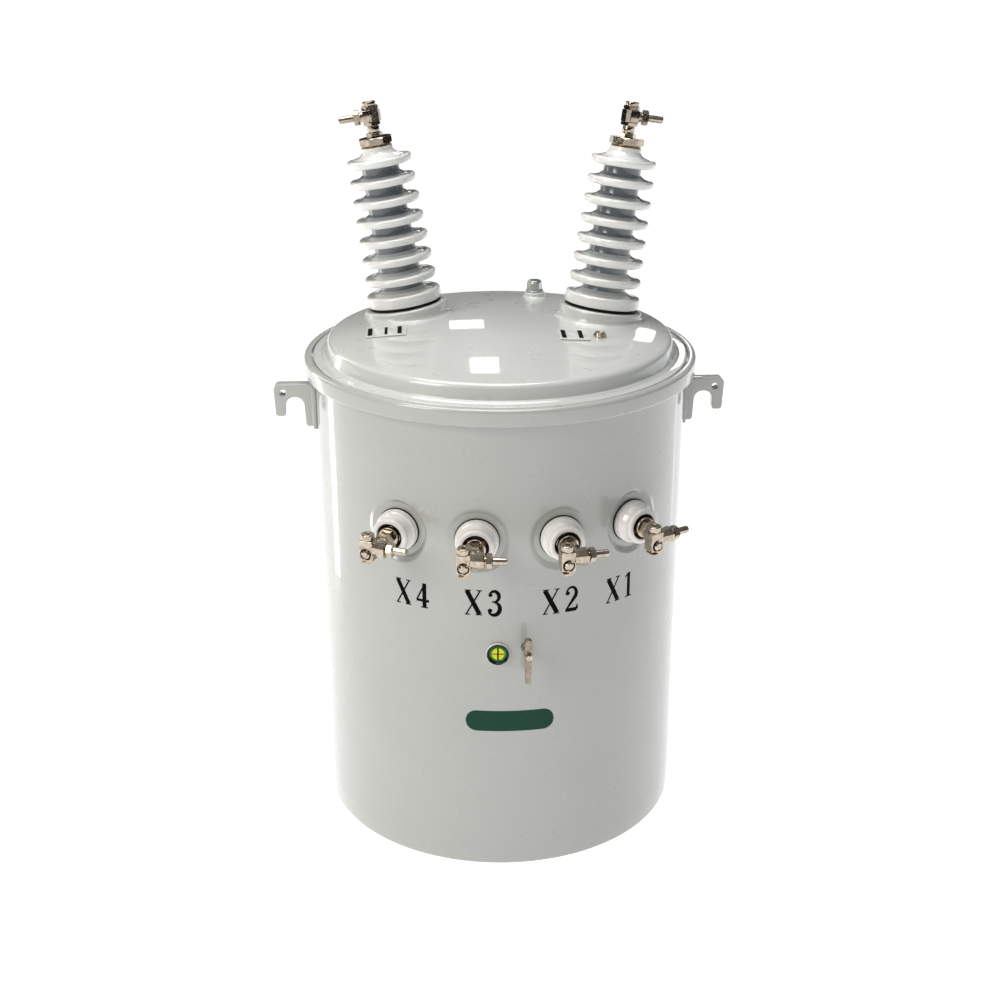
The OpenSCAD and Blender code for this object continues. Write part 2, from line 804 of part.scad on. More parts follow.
module hanger_bracket(z) {
    face = tank_r + hanger_stand;
    color(tank_grey)
        difference() {
            union() {
                translate([-hanger_w / 2, face - hanger_t, z - hanger_h / 2])
                    cube([hanger_w, hanger_t, hanger_h]);
                for (x = [-hanger_w / 2, hanger_w / 2 - hanger_t])
                    translate([x, tank_r - 30, z - hanger_h / 2])
                        cube([hanger_t, hanger_stand + 30, hanger_h]);
            }
            tank_cut();
            translate([0, face + 1, z]) rotate([90, 0, 0])
                cylinder(r = hanger_hole_r, h = hanger_t + 2);
        }
}

module hanger_brackets() {
    for (z = [hanger_high_z - hanger_spacing, hanger_high_z]) hanger_bracket(z);
}

tank_body();
clamp_band();
band_bolt();
cover();
cover_seats();
relief_plug();
marker_plates();
cover_button();
hv_gaskets();
hv_rings();
hv_porcelain(-1);  // hv_porcelain_left
hv_nut(-1);  // hv_nut_left
hv_stud(-1);  // hv_stud_left
hv_connector(-1);  // hv_connector_left
hv_cap(-1);  // hv_cap_left
hv_porcelain(1);  // hv_porcelain_right
hv_nut(1);  // hv_nut_right
hv_stud(1);  // hv_stud_right
hv_connector(1);  // hv_connector_right
hv_cap(1);  // hv_cap_right
hv_pins();
lv_gaskets();
lv_porcelain(0);  // lv_porcelain_x4
lv_porcelain(1);  // lv_porcelain_x3
lv_porcelain(2);  // lv_porcelain_x2
lv_porcelain(3);  // lv_porcelain_x1
lv_stud(0);  // lv_stud_x4
lv_stud(1);  // lv_stud_x3
lv_stud(2);  // lv_stud_x2
lv_stud(3);  // lv_stud_x1
lv_connector(0);  // lv_connector_x4
lv_connector(1);  // lv_connector_x3
lv_connector(2);  // lv_connector_x2
lv_connector(3);  // lv_connector_x1
lv_screws();
lv_pins();
lv_rods();
lifting_lug(-1);  // lifting_lug_left
lifting_lug(1);  // lifting_lug_right
hanger_brackets();
gauge_bezel();
gauge_glass();
lever_boss();
lever();
lever_shaft();
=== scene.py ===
"""Looks of a pole mounted distribution transformer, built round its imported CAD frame.

Every length is in millimetres until a mesh is made, and comes from the frame's boxes and mounts
or from the named values below. Local frames: +X across, +Y up or inwards, +Z out of the seat.
"""
import json
import math

import bmesh
import bpy
import numpy as np
from mathutils import Matrix, Vector


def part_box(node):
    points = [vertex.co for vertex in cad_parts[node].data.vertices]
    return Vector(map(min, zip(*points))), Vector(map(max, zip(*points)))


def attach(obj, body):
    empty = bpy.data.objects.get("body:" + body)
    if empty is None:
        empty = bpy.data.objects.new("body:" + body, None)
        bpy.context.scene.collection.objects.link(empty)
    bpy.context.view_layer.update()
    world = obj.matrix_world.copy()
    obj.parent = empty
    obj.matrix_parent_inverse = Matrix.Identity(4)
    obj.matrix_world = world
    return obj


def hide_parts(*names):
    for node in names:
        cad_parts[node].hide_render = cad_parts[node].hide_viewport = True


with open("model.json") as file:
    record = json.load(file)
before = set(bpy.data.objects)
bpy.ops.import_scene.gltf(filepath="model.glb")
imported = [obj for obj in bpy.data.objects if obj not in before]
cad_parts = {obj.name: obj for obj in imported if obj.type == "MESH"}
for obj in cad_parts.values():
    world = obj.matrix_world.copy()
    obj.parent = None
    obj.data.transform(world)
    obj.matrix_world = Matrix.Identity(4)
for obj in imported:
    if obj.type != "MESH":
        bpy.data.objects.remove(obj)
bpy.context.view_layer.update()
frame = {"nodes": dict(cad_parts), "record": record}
MM = 0.001
BODY = "transformer"
mounts = {m["name"]: m for m in frame["record"]["mounts"]}


def box_mm(node):
    low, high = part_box(node)
    return low / MM, high / MM


def middle_mm(node):
    low, high = box_mm(node)
    return (low + high) / 2


# ---- Sizes ----

tank_r = box_mm("tank_body")[1].x
tank_top = box_mm("tank_body")[1].z
band_low, band_high = (corner.z for corner in box_mm("clamp_band"))
band_r = box_mm("clamp_band")[1].x
flange_r = box_mm("cover")[1].x
dome_top = box_mm("cover")[1].z

SHOULDER_DROP = 11.5      # dome's middle above its shoulder
CROWN_INSET = 15.0        # crown's foot in from the tank wall
PAD_FACE_R = 34.5         # flat part of a low voltage pad
PAD_SLOPE = 6.5           # width of the pressed slope round it
LV_ARM = 60.0             # pad's face to the connector's bolt
LV_BARREL_END = 13.0
LV_NUT_SEAT = 2.0
SIDE_R = 4.4              # side pins of all connectors
JAW_X = -11.0             # the connector's jaw beside its bolt
JAW_ROD_Y = -8.0          # the round rod in the jaw's eye
JAW_ROD_R = 5.2
HV_TURN = -6.5            # the pair of high voltage bushings is turned a little on the cover
HV_SPREAD = 115.0
HV_TILT = 9.5
HV_LEAN = 13.0            # they lean a little to one side of straight outwards
HV_INSET = 95.0
HV_SEAT_RISE = 18.5
HV_GASKET_T = 4.0
HV_SKIRT_R = 48.5
HV_SKIRT_H = 15.0
HV_SHEDS = 7
HV_PITCH = 24.9
HV_SHED_R = (47.3, 42.3)  # lowest and highest shed
HV_CORE_R = (27.5, 23.5)
HV_RIM = 10.8
HV_NUT_T = 9.0
HV_SEAT_R = 53.0

crown_r = tank_r - CROWN_INSET
shoulder_z = dome_top - SHOULDER_DROP
dome_sphere_r = ((crown_r - 6) ** 2 + SHOULDER_DROP ** 2) / (2 * SHOULDER_DROP)
hv_first_shed = HV_GASKET_T + HV_SKIRT_H + 17.7
hv_last_shed = hv_first_shed + (HV_SHEDS - 1) * HV_PITCH
hv_head_top = hv_last_shed + 18.2
hv_nut_low = hv_head_top + 2.5
hv_block_low = hv_nut_low + HV_NUT_T + 19.0


def dome_z(r):
    return dome_top - dome_sphere_r + math.sqrt(dome_sphere_r ** 2 - r * r)


# ---- Camera, lights and floor ----

def make_camera():
    turn = math.radians(-3.0)
    pitch = math.radians(21.99)
    distance = 1.9247
    data = bpy.data.cameras.new("camera")
    data.lens = 56.545
    data.sensor_width = 36.0
    camera = bpy.data.objects.new("camera", data)
    camera.location = (distance * math.sin(turn), -distance * math.cos(turn), 1.1837)
    camera.rotation_euler = (math.pi / 2 - pitch, 0, turn)
    bpy.context.scene.collection.objects.link(camera)
    bpy.context.scene.camera = camera


make_camera()


# ---- Node helpers ----

def linear(hex_colour):
    """sRGB hex to a linear colour with alpha."""
    parts = [int(hex_colour[i:i + 2], 16) / 255 for i in (1, 3, 5)]
    return tuple(c / 12.92 if c <= 0.04045 else ((c + 0.055) / 1.055) ** 2.4 for c in parts) + (1.0,)


def add(tree, kind, settings=None, **links):
    """Adds a node, sets its attributes or socket values, and links its inputs."""
    node = tree.nodes.new(kind)
    for key, value in (settings or {}).items():
        if isinstance(key, str) and hasattr(node, key):
            setattr(node, key, value)
        else:
            node.inputs[key].default_value = value
    for key, source in links.items():
        tree.links.new(source, node.inputs[int(key[1:]) if key[0] == "i" and key[1:].isdigit() else key])
    return node


def vary(tree, coords, size_mm, low, high, detail=2.0):
    """A noise of that grain size, spread between two colours."""
    noise = add(tree, "ShaderNodeTexNoise", {"Scale": 1.0 / (size_mm * MM), "Detail": detail}, Vector=coords)
    ramp = add(tree, "ShaderNodeValToRGB", Fac=noise.outputs["Fac"])
    ramp.color_ramp.elements[0].position = 0.3
    ramp.color_ramp.elements[1].position = 0.7
    ramp.color_ramp.elements[0].color = low
    ramp.color_ramp.elements[1].color = high
    return ramp.outputs["Color"]


def relief(tree, coords, size_mm, depth_mm, detail, under=None):
    """The normal of a random relief of that grain size and depth, laid over another one if given."""
    noise = add(tree, "ShaderNodeTexNoise", {"Scale": 1.0 / (size_mm * MM), "Detail": detail}, Vector=coords)
    bump = add(tree, "ShaderNodeBump", {"Distance": depth_mm * MM, "Strength": 1.0},
               Height=noise.outputs["Fac"])
    if under:
        tree.links.new(under, bump.inputs["Normal"])
    return bump.outputs["Normal"]


def new_material(name, light, dark, grain_mm, detail, settings):
    """A material whose colour drifts between two hex colours: itself, its tree, shader and coordinates."""
    material = bpy.data.materials.new(name)
    material.use_nodes = True
    tree = material.node_tree
    shader = tree.nodes["Principled BSDF"]
    for key, value in settings.items():
        shader.inputs[key].default_value = value
    coords = add(tree, "ShaderNodeTexCoord").outputs["Object"]
    colour = vary(tree, coords, grain_mm, linear(dark), linear(light), detail)
    tree.links.new(colour, shader.inputs["Base Color"])
    return material, tree, shader, coords


def grey(value):
    return (value, value, value, 1.0)


# ---- Materials ----

def enamel_on_steel(name, light, dark, sag=0.12):
    """Baked polyester enamel on rolled sheet: a wet gloss with faint orange peel and long soft waves."""
    material, tree, shader, coords = new_material(name, light, dark, 90.0, 3.0, {
        "Roughness": 0.3, "IOR": 1.5, "Coat Weight": 1.0, "Coat Roughness": 0.035, "Coat IOR": 1.5})
    tree.links.new(vary(tree, coords, 30.0, grey(0.26), grey(0.34)), shader.inputs["Roughness"])
    waves = relief(tree, coords, 110.0, sag, 1.0)
    orange_peel = relief(tree, coords, 3.5, 0.003, 2.0, waves)
    tree.links.new(orange_peel, shader.inputs["Normal"])
    tree.links.new(orange_peel, shader.inputs["Coat Normal"])
    return material


def glazed_porcelain(name, light, dark, gloss=0.06):
    """Fired porcelain under a clear glaze: a milky body, a wet surface and a faint pinhole ripple."""
    material, tree, shader, coords = new_material(name, light, dark, 14.0, 4.0, {
        "Roughness": 0.28, "IOR": 1.5, "Coat Weight": 1.0, "Coat Roughness": gloss, "Coat IOR": 1.55,
        "Subsurface Weight": 0.08, "Subsurface Scale": 0.002})
    ripple = relief(tree, coords, 9.0, 0.05, 2.0)
    tree.links.new(ripple, shader.inputs["Normal"])
    tree.links.new(ripple, shader.inputs["Coat Normal"])
    return material


def plated_metal(name, light, dark, rough):
    """Turned or milled metal, plated: mirror-like edges, a slightly cloudy face and faint tool marks."""
    material, tree, shader, coords = new_material(name, light, dark, 5.0, 4.0, {
        "Metallic": 1.0, "Roughness": rough[0]})
    tree.links.new(vary(tree, coords, 2.5, grey(rough[0]), grey(rough[1]), 4.0), shader.inputs["Roughness"])
    tree.links.new(relief(tree, coords, 1.4, 0.02, 4.0), shader.inputs["Normal"])
    return material


def moulded(name, light, dark, rough=0.5, grain_mm=1.0, depth=0.03, extra=None):
    """Moulded rubber, plastic or printed paint: even colour, a fine skin and soft highlights."""
    settings = {"Roughness": rough, "IOR": 1.5}
    settings.update(extra or {})
    material, tree, shader, coords = new_material(name, light, dark, 6.0, 3.0, settings)
    tree.links.new(relief(tree, coords, grain_mm, depth, 3.0), shader.inputs["Normal"])
    return material


tank_enamel = enamel_on_steel("tank_baked_enamel", "#B7B9B5", "#B4B6B2")
cover_enamel = enamel_on_steel("cover_baked_enamel", "#D0D2CF", "#CDCFCC", sag=0.06)
shed_glaze = glazed_porcelain("sky_grey_glaze", "#EAEAE8", "#E6E6E3")
# Painted shade: two darker copies of the one sky grey glaze, for the necks between the sheds and the shed
# roots beside them, where the sheds shade the porcelain.
neck_painted_shade_glaze = glazed_porcelain("painted_shade_neck_glaze", "#70777D", "#697076", 0.1)
root_painted_shade_glaze = glazed_porcelain("painted_shade_shed_root_glaze", "#BFC3C5", "#B9BDBF", 0.08)
white_glaze = glazed_porcelain("off_white_glaze", "#F3F0ED", "#EFECE9")
nickel = plated_metal("nickel_plate", "#CFC3B4", "#A89A89", (0.07, 0.17))
nickel_dull = plated_metal("nickel_plate_worn", "#A39888", "#867B6C", (0.2, 0.34))
brass = plated_metal("turned_brass", "#8F7243", "#6F562E", (0.2, 0.34))
zinc = plated_metal("zinc_plate", "#C9CCCB", "#B4B8B7", (0.25, 0.38))
DULL = {"Specular IOR Level": 0.2}
rubber = moulded("black_rubber", "#0C0C0C", "#080808", 0.6, 1.2, 0.03, DULL)
# Dark grey for the painted shadow line under the clamp band.
shadow_line_rubber = moulded("painted_shadow_line_rubber", "#55595A", "#4C5051", 0.6, 1.2, 0.03, DULL)
black_print = moulded("black_printing", "#0A0A0A", "#060606", 0.6, 0.8, 0.01, {"Specular IOR Level": 0.05})
green_decal = moulded("green_decal", "#1B4A38", "#184433", 0.5, 0.8, 0.01, {"Specular IOR Level": 0.15})
plate_enamel = moulded("white_enamel_plate", "#F0F0EC", "#E9E9E5", 0.2, 2.0, 0.01, {"Coat Weight": 0.6})
black_plastic = moulded("black_moulded_plastic", "#101410", "#0B0D0B", 0.25, 0.7, 0.01)
green_plastic = moulded("green_moulded_plastic", "#0F8A38", "#0B742E", 0.25, 0.7, 0.01, {"Coat Weight": 0.5})
yellow_print = moulded("yellow_target", "#F2EE10", "#E4E000", 0.4, 0.8, 0.01)


# ---- Shapes: a shape is (points, faces), in millimetres ----

def fillet_path(corners, steps=5, closed=False):
    """Rounds the corners of a path. Each corner is (x, y, radius) or (x, y)."""
    points = []
    count = len(corners)
    for i, corner in enumerate(corners):
        here = Vector(corner[:2])
        radius = corner[2] if len(corner) > 2 else 0
        if radius <= 0 or (not closed and i in (0, count - 1)):
            points.append(tuple(here))
            continue
        before = Vector(corners[i - 1][:2]) - here
        after = Vector(corners[(i + 1) % count][:2]) - here
        half = before.angle(after) / 2
        reach = min(radius / math.tan(half), before.length * 0.499, after.length * 0.499)
        start, end = here + before.normalized() * reach, here + after.normalized() * reach
        centre = here + (before.normalized() + after.normalized()).normalized() * (reach / math.cos(half))
        a, b = start - centre, end - centre
        turn = math.atan2(a.x * b.y - a.y * b.x, a.dot(b))
        for k in range(steps + 1):
            s, c = math.sin(turn * k / steps), math.cos(turn * k / steps)
            points.append((centre.x + a.x * c - a.y * s, centre.y + a.x * s + a.y * c))
    return points


def spin(profile, segments=96, start=0.0, sweep=360.0, close_path=False):
    """Turns a profile round +Z. An entry is (r, z), or a function of the angle that gives it."""
    full = sweep >= 360.0
    angles = [math.radians(start + sweep * k / segments) for k in range(segments if full else segments + 1)]
    points, rings = [], []
    for entry in profile:
        if not callable(entry) and entry[0] < 1e-6:
            rings.append([len(points)] * len(angles))
            points.append((0.0, 0.0, entry[1]))
            continue
        ring = []
        for angle in angles:
            r, z = entry(angle) if callable(entry) else entry
            ring.append(len(points))
            points.append((r * math.cos(angle), r * math.sin(angle), z))
        rings.append(ring)
    faces = []
    pairs = list(zip(rings, rings[1:])) + ([(rings[-1], rings[0])] if close_path else [])
    for low, high in pairs:
        for k in range(segments):
            n = (k + 1) % len(angles)
            corners = [low[k], low[n], high[n], high[k]]
            face = [v for j, v in enumerate(corners) if v != corners[j - 1]]
            if len(face) > 2:
                faces.append(face)
    if not full:
        faces.append([ring[0] for ring in rings][::-1])
        faces.append([ring[-1] for ring in rings])
    return points, faces


def turned(corners, steps=4, segments=96, closed=False):
    """Turns a profile with rounded corners round +Z; a closed one makes a ring."""
    return spin(fillet_path(corners, steps, closed), segments, close_path=closed)


def ring_faces(rings, count):
    """Faces between closed rings of that many points each."""
    faces = []
    for low in range(0, (rings - 1) * count, count):
        for k in range(count):
            n = (k + 1) % count
            faces.append([low + k, low + n, low + count + n, low + count + k])
    return faces


def sided(across_flats, sides=6, corner_share=0.985):
    """Outline radius of a nut at an angle, with its corners turned down a little."""
    flat = across_flats / 2
    corner = flat / math.cos(math.pi / sides)

    def radius(angle):
        wedge = (angle % (2 * math.pi / sides)) - math.pi / sides
        return min(flat / math.cos(wedge), corner * corner_share + flat * (1 - corner_share))
    return radius


def nut(across_flats, height, z=0.0, sides=6, chamfer=0.58, bore=0.0, both=True):
    """A nut with turned chamfers, so each flat ends in a curve."""
    radius = sided(across_flats, sides)
    flat = across_flats / 2 - 0.25

    def edge(top):
        def point(angle):
            fall = (radius(angle) - flat) * chamfer
            return radius(angle), z + (height - fall if top else fall)
        return point
    low = [(bore, z), (flat, z), edge(False)] if both else [(bore, z), lambda a: (radius(a), z)]
    return spin(low + [edge(True), (flat, z + height), (bore, z + height)], close_path=bore > 0)


def rod(r, length, z=0.0, chamfer=0.8, segments=48, thread=0.0):
    """A round bar with chamfered ends, and thread rings of that pitch where one is given."""
    if not thread:
        return spin([(0, z), (r - chamfer, z), (r, z + chamfer), (r, z + length - chamfer),
                     (r - chamfer, z + length), (0, z + length)], segments)
    turns = int(length / thread)
    profile = [(0, z), (r - thread * 0.6, z)]
    for k in range(turns):
        profile += [(r - thread * 0.5, z + (k + 0.1) * thread), (r, z + (k + 0.45) * thread),
                    (r, z + (k + 0.6) * thread), (r - thread * 0.5, z + (k + 0.95) * thread)]
    return spin(profile + [(r - thread * 0.6, z + length), (0, z + length)], segments)


def block(size, edge, centre=(0, 0, 0)):
    """A machined block with rounded edges."""
    x, y, z = (s / 2 for s in size)
    low = Vector(centre) - Vector((0, 0, z))
    return moved(slab([rectangle(-x, -y, x, y)], size[2], edge), Matrix.Translation(low))


def slab(outlines, thickness, edge, steps=3):
    """A flat piece cut to outlines, the first one outside and the rest holes, with rounded edges."""
    curve = bpy.data.curves.new("outline", "CURVE")
    curve.dimensions = "2D"
    curve.fill_mode = "BOTH"
    curve.extrude = thickness / 2 - edge
    curve.bevel_depth = edge
    curve.bevel_resolution = steps
    curve.offset = -edge
    for outline in outlines:
        spline = curve.splines.new("POLY")
        spline.points.add(len(outline) - 1)
        for point, (x, y) in zip(spline.points, outline):
            point.co = (x, y, 0, 1)
        spline.use_cyclic_u = True
    holder = bpy.data.objects.new("outline", curve)
    bpy.context.scene.collection.objects.link(holder)
    bpy.context.view_layer.update()
    mesh = bpy.data.meshes.new_from_object(holder.evaluated_get(bpy.context.evaluated_depsgraph_get()))
    points = [(v.co.x, v.co.y, v.co.z + thickness / 2) for v in mesh.vertices]
    faces = [list(p.vertices) for p in mesh.polygons]
    bpy.data.objects.remove(holder)
    bpy.data.meshes.remove(mesh)
    bpy.data.curves.remove(curve)
    return points, faces


def circle(x, y, r):
    angles = [2 * math.pi * k / 48 for k in range(48)]
    return [(x + r * math.cos(angle), y + r * math.sin(angle)) for angle in angles]


def rectangle(x0, y0, x1, y1, radius=0.0, steps=4):
    """Outline of a rectangle between two corners, rounded where a radius is given."""
    corners = [(x0, y0, radius), (x1, y0, radius), (x1, y1, radius), (x0, y1, radius)]
    return fillet_path(corners, steps, closed=True)


def moved(shape, matrix):
    points, faces = shape
    return [tuple(matrix @ Vector(p)) for p in points], faces


def joined(*shapes):
    points, faces = [], []
    for shape_points, shape_faces in shapes:
        base = len(points)
        points += shape_points
        faces += [[base + v for v in face] for face in shape_faces]
    return points, faces


def shift(x=0, y=0, z=0):
    return Matrix.Translation((x, y, z))


def turn(angle, axis):
    return Matrix.Rotation(math.radians(angle), 4, axis)


def piece(name, shape, material, node=None, body=BODY, matrix=None, sharp=32, weld=True):
    """Makes a shape into a piece of the object, with smooth shading up to the sharp angle."""
    points, faces = moved(shape, matrix) if matrix else shape
    mesh = bpy.data.meshes.new(name)
    mesh.from_pydata([(x * MM, y * MM, z * MM) for x, y, z in points], [], faces)
    mesh.validate()
    if weld:
        work = bmesh.new()
        work.from_mesh(mesh)
        bmesh.ops.remove_doubles(work, verts=work.verts, dist=0.005 * MM)
        bmesh.ops.recalc_face_normals(work, faces=work.faces)
        work.to_mesh(mesh)
        work.free()
    mesh.shade_smooth()
    mesh.set_sharp_from_angle(angle=math.radians(sharp))
    made = bpy.data.objects.new(name, mesh)
    bpy.context.scene.collection.objects.link(made)
    mesh.materials.append(material)
    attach(made, body)
    if node:
        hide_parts(*([node] if isinstance(node, str) else node))
    return made


def axes(origin, across, up, out):
    """The matrix of a local frame."""
    matrix = Matrix.Identity(4)
    for column, vector in enumerate((across, up, out, origin)):
        for row in range(3):
            matrix[row][column] = vector[row]
    return matrix


# Flat outlines stood upright, with their thickness growing that way.
TO_FRONT = axes((0, 0, 0), (1, 0, 0), (0, 0, 1), (0, -1, 0))
TO_BACK = axes((0, 0, 0), (-1, 0, 0), (0, 0, 1), (0, 1, 0))
TO_RIGHT = axes((0, 0, 0), (0, 1, 0), (0, 0, 1), (1, 0, 0))


def lv_frame(name):
    """Local frame of a low voltage bushing on its pad's face."""
    mount = mounts["lv_pin_" + name]
    across = Vector(mount["axis"]).normalized()
    out = Vector((across.y, -across.x, 0))
    pin_middle = LV_BARREL_END + 9.0 + mount["dims"]["length_mm"] / 2
    origin = Vector(mount["pos_m"]) / MM - across * pin_middle - out * LV_ARM
    return axes(origin, across, Vector((0, 0, 1)), out)


def hv_angle(side):
    return HV_TURN + (-HV_SPREAD if side == "left" else HV_SPREAD)


def hv_frame(side):
    """Local frame of a high voltage bushing on its seat, leaning away from the tank's middle."""
    seat = shift(z=shoulder_z + HV_SEAT_RISE) @ turn(hv_angle(side), "Z") @ shift(y=HV_INSET - tank_r)
    return seat @ turn(HV_LEAN, "Z") @ turn(HV_TILT, "X")


def front_frame(middle):
    """Local frame on the tank's front below a point: +Z out of the wall."""
    out = Vector((middle.x, middle.y, 0)).normalized()
    return axes(out * tank_r + Vector((0, 0, middle.z)), Vector((-out.y, out.x, 0)), Vector((0, 0, 1)), out)


LV_NAMES = ("x4", "x3", "x2", "x1")
lv_frames = {name: lv_frame(name) for name in LV_NAMES}
hv_frames = {side: hv_frame(side) for side in ("left", "right")}


# ---- Tank ----

def tank_shape():
    """The wall as one grid, fine round the pads and pressed flat there."""
    pads = list(lv_frames.values())
    pad_angles = [math.degrees(math.atan2(pad.translation.x, -pad.translation.y)) for pad in pads]
    pad_z = pads[0].translation.z
    reach = PAD_FACE_R + PAD_SLOPE + 6
    fine = 0.95
    arc = math.degrees(reach / tank_r)
    columns, angle = [], -180.0
    while angle < 180.0 - 0.1:
        columns.append(angle)
        near = any(abs(angle - p) < arc for p in pad_angles)
        angle += math.degrees(fine / tank_r) if near else 1.5
    lower = fillet_path([(tank_r - 3, 0), (tank_r - 0.4, 0.4, 1.2), (tank_r, 3)], 4)
    rows = [(tank_r - 3.5, 1.2)] + lower
    rows += [(tank_r, z) for z in np.arange(30, pad_z - reach, 30)]
    rows += [(tank_r, z) for z in np.arange(pad_z - reach, pad_z + reach, fine)]
    rows += [(tank_r, z) for z in np.arange(pad_z + reach, tank_top, 30)] + [(tank_r, tank_top)]
    angles = np.radians(columns)
    radii = np.array([r for r, _ in rows])
    heights = np.array([z for _, z in rows])
    grid = np.stack([np.outer(radii, np.sin(angles)), np.outer(radii, -np.cos(angles)),
                     np.repeat(heights[:, None], len(angles), 1)], -1).reshape(-1, 3)
    for pad in pads:
        origin = np.array(pad.translation)
        across, up, out = (np.array(pad.col[k][:3]) for k in range(3))
        offset = grid - origin
        u, v, w = offset @ across, offset @ up, offset @ out
        rho = np.hypot(u, v)
        close = (rho < PAD_FACE_R + PAD_SLOPE + 2) & (np.abs(w) < 40)
        for edge in (PAD_FACE_R, PAD_FACE_R + 0.9):
            snap = close & (np.abs(rho - edge) < fine * 0.5)
            scale = np.where(snap, edge / np.maximum(rho, 1e-6), 1.0)
            u, v, rho = u * scale, v * scale, rho * scale
        share = np.clip((PAD_FACE_R + PAD_SLOPE - rho) / PAD_SLOPE, 0, 1)
        press = share ** 1.3
        pressed = origin + np.outer(u, across) + np.outer(v, up) + np.outer(w * (1 - press), out)
        grid = np.where(close[:, None], pressed, grid)
    count = len(columns)
    faces = ring_faces(len(rows), count)
    points = [tuple(p) for p in grid]
    points += [(0, 0, 1.2), (0, 0, tank_top)]
    top = (len(rows) - 1) * count
    for k in range(count):
        n = (k + 1) % count
        faces.append([n, k, len(points) - 2])
        faces.append([top + k, top + n, len(points) - 1])
    return points, faces


piece("tank_wall", tank_shape(), tank_enamel, "tank_body", weld=False)


def weld_bead(path, width):
    """A fillet weld along a path of points 1 mm apart: a half-round ridge with ripples every 4 mm."""
    points, faces = [], []
    sides = 7
    steps = len(path)
    for k, (here, normal, across) in enumerate(path):
        swell = 1 + 0.12 * math.sin(2 * math.pi * k / 4.0)
        end = 0.35 if k in (0, steps - 1) else 1.0
        for j in range(sides):
            t = math.pi * j / (sides - 1)
            beside = across * (math.cos(t) * width / 2 * end)
            raised = normal * (math.sin(t) * width * 0.38 * swell * end)
            points.append(tuple(here + beside + raised))
    for k in range(steps - 1):
        for j in range(sides - 1):
            a = k * sides + j
            faces.append([a, a + 1, a + sides + 1, a + sides])
    faces.append(list(range(sides)))
    faces.append(list(range((steps - 1) * sides, steps * sides))[::-1])
    return points, faces


# ---- Clamp band ----

def band_shape():
    split = 8.0
    inner = tank_r + 0.2
    slot_in = flange_r + 2.0
    profile = fillet_path([
        (inner, band_low + 6), (tank_r + 3.2, band_low, 0.8), (band_r, band_low, 2.2),
        (band_r, band_high, 5.5), (slot_in, band_high, 0.9),
        (slot_in - 0.4, tank_top - 0.6), (inner, tank_top - 0.6)], 6, closed=True)
    half = math.degrees(split / 2 / tank_r)
    ring = spin(profile, 300, 90 + half, 360 - 2 * half, close_path=True)
    ear_t = 5.0
    ear_high = band_low + 16
    ear_out = box_mm("clamp_band")[1].y
    hole_y = ear_out - 9
    hole_z = (band_low + band_high) / 2 - 2.5
    outline = fillet_path([(tank_r + 4, band_low), (ear_out, band_low, 4), (ear_out, ear_high, 4),
                           (tank_r + 4, ear_high)], 5, closed=True)
    ear = slab([outline, circle(hole_y, hole_z, 4.3)], ear_t, 0.8)
    ears = [moved(ear, shift(x=x) @ TO_RIGHT) for x in (split / 2, -split / 2 - ear_t)]
    return joined(ring, *ears)


piece("band_ring", band_shape(), tank_enamel, "clamp_band")
# Painted shadow: a dark grey ring just under the band's lower edge stands in for the shade the band casts on
# the wall.
piece("band_shadow_line_ring", turned([
    (tank_r - 0.5, band_low + 1), (tank_r - 0.5, band_low - 2.6), (tank_r + 1.4, band_low - 2.2, 0.8),
    (tank_r + 1.8, band_low + 1)], 4, 256, closed=True), shadow_line_rubber, None)


def band_bolt_shape():
    low, high = box_mm("band_bolt")
    centre = (low + high) / 2
    length = high.x - low.x
    grip = 18.0
    along = Matrix.Translation((0, centre.y, centre.z)) @ turn(90, "Y")
    return joined(moved(rod(4, length, -length / 2, 0.8, 40, thread=1.25), along),
                  moved(nut(12.8, 6, -grip / 2 - 6), along), moved(nut(12.8, 6, grip / 2), along))


piece("band_bolt_set", band_bolt_shape(), zinc, "band_bolt")


# ---- Cover ----

def cover_shape():
    top = band_high
    profile = [(flange_r - 1, tank_top)]
    profile += fillet_path([
        (flange_r, tank_top), (flange_r, top, 1.6), (crown_r + 6.5, top, 1.5),
        (crown_r + 4.0, top + 1.6, 1.2), (crown_r + 1.0, top + 2.2, 2.2), (crown_r - 0.6, top + 9, 4),
        (shoulder_r_out, shoulder_z - 1.2, 7.5),
        (shoulder_r_out - 20, dome_z(shoulder_r_out - 20))], 6)
    for k in range(1, 25):
        r = (shoulder_r_out - 20) * (1 - k / 24)
        profile.append((r, dome_z(r) if r > 1e-3 else dome_top))
    return spin(profile, 256)


shoulder_r_out = crown_r - 3.0
piece("cover_dome", cover_shape(), cover_enamel, "cover")


def seat_shape(local, radius, depth, edge, fillet):
    """A raised seat: a flat top, a round wall and a fillet that runs out on the dome."""
    segments = 128
    rings = [[(0.0, 0.0)] * segments]
    profile = fillet_path([(radius * 0.6, 0), (radius, 0, edge), (radius, -depth)], 5)[:-1]
    for r, z in profile:
        rings.append([(r, z)] * segments)

    def dome_height(angle, r):
        low, high = -80.0, 10.0
        for _ in range(30):
            z = (low + high) / 2
            p = local @ Vector((r * math.cos(angle), r * math.sin(angle), z))
            if p.z > dome_z(min(math.hypot(p.x, p.y), crown_r - 6)):
                high = z
            else:
                low = z
        return (low + high) / 2
    feet = []
    for k in range(segments):
        angle = 2 * math.pi * k / segments
        feet.append((dome_height(angle, radius), dome_height(angle, radius + fillet)))
    for step in range(7):
        t = step / 6
        ring = []
        for foot, far in feet:
            room = min(fillet, -foot - edge - 0.5)
            start = Vector((radius, foot + room))
            end = Vector((radius + fillet, far - 0.12))
            bend = Vector((radius, foot))
            p = start * (1 - t) ** 2 + bend * (2 * t * (1 - t)) + end * t * t
            ring.append((p.x, p.y))
        rings.append(ring)
    points = []
    for ring in rings:
        for k, (r, z) in enumerate(ring):
            angle = 2 * math.pi * k / segments
            points.append((r * math.cos(angle), r * math.sin(angle), z))
    return moved((points, ring_faces(len(rings), segments)), local)


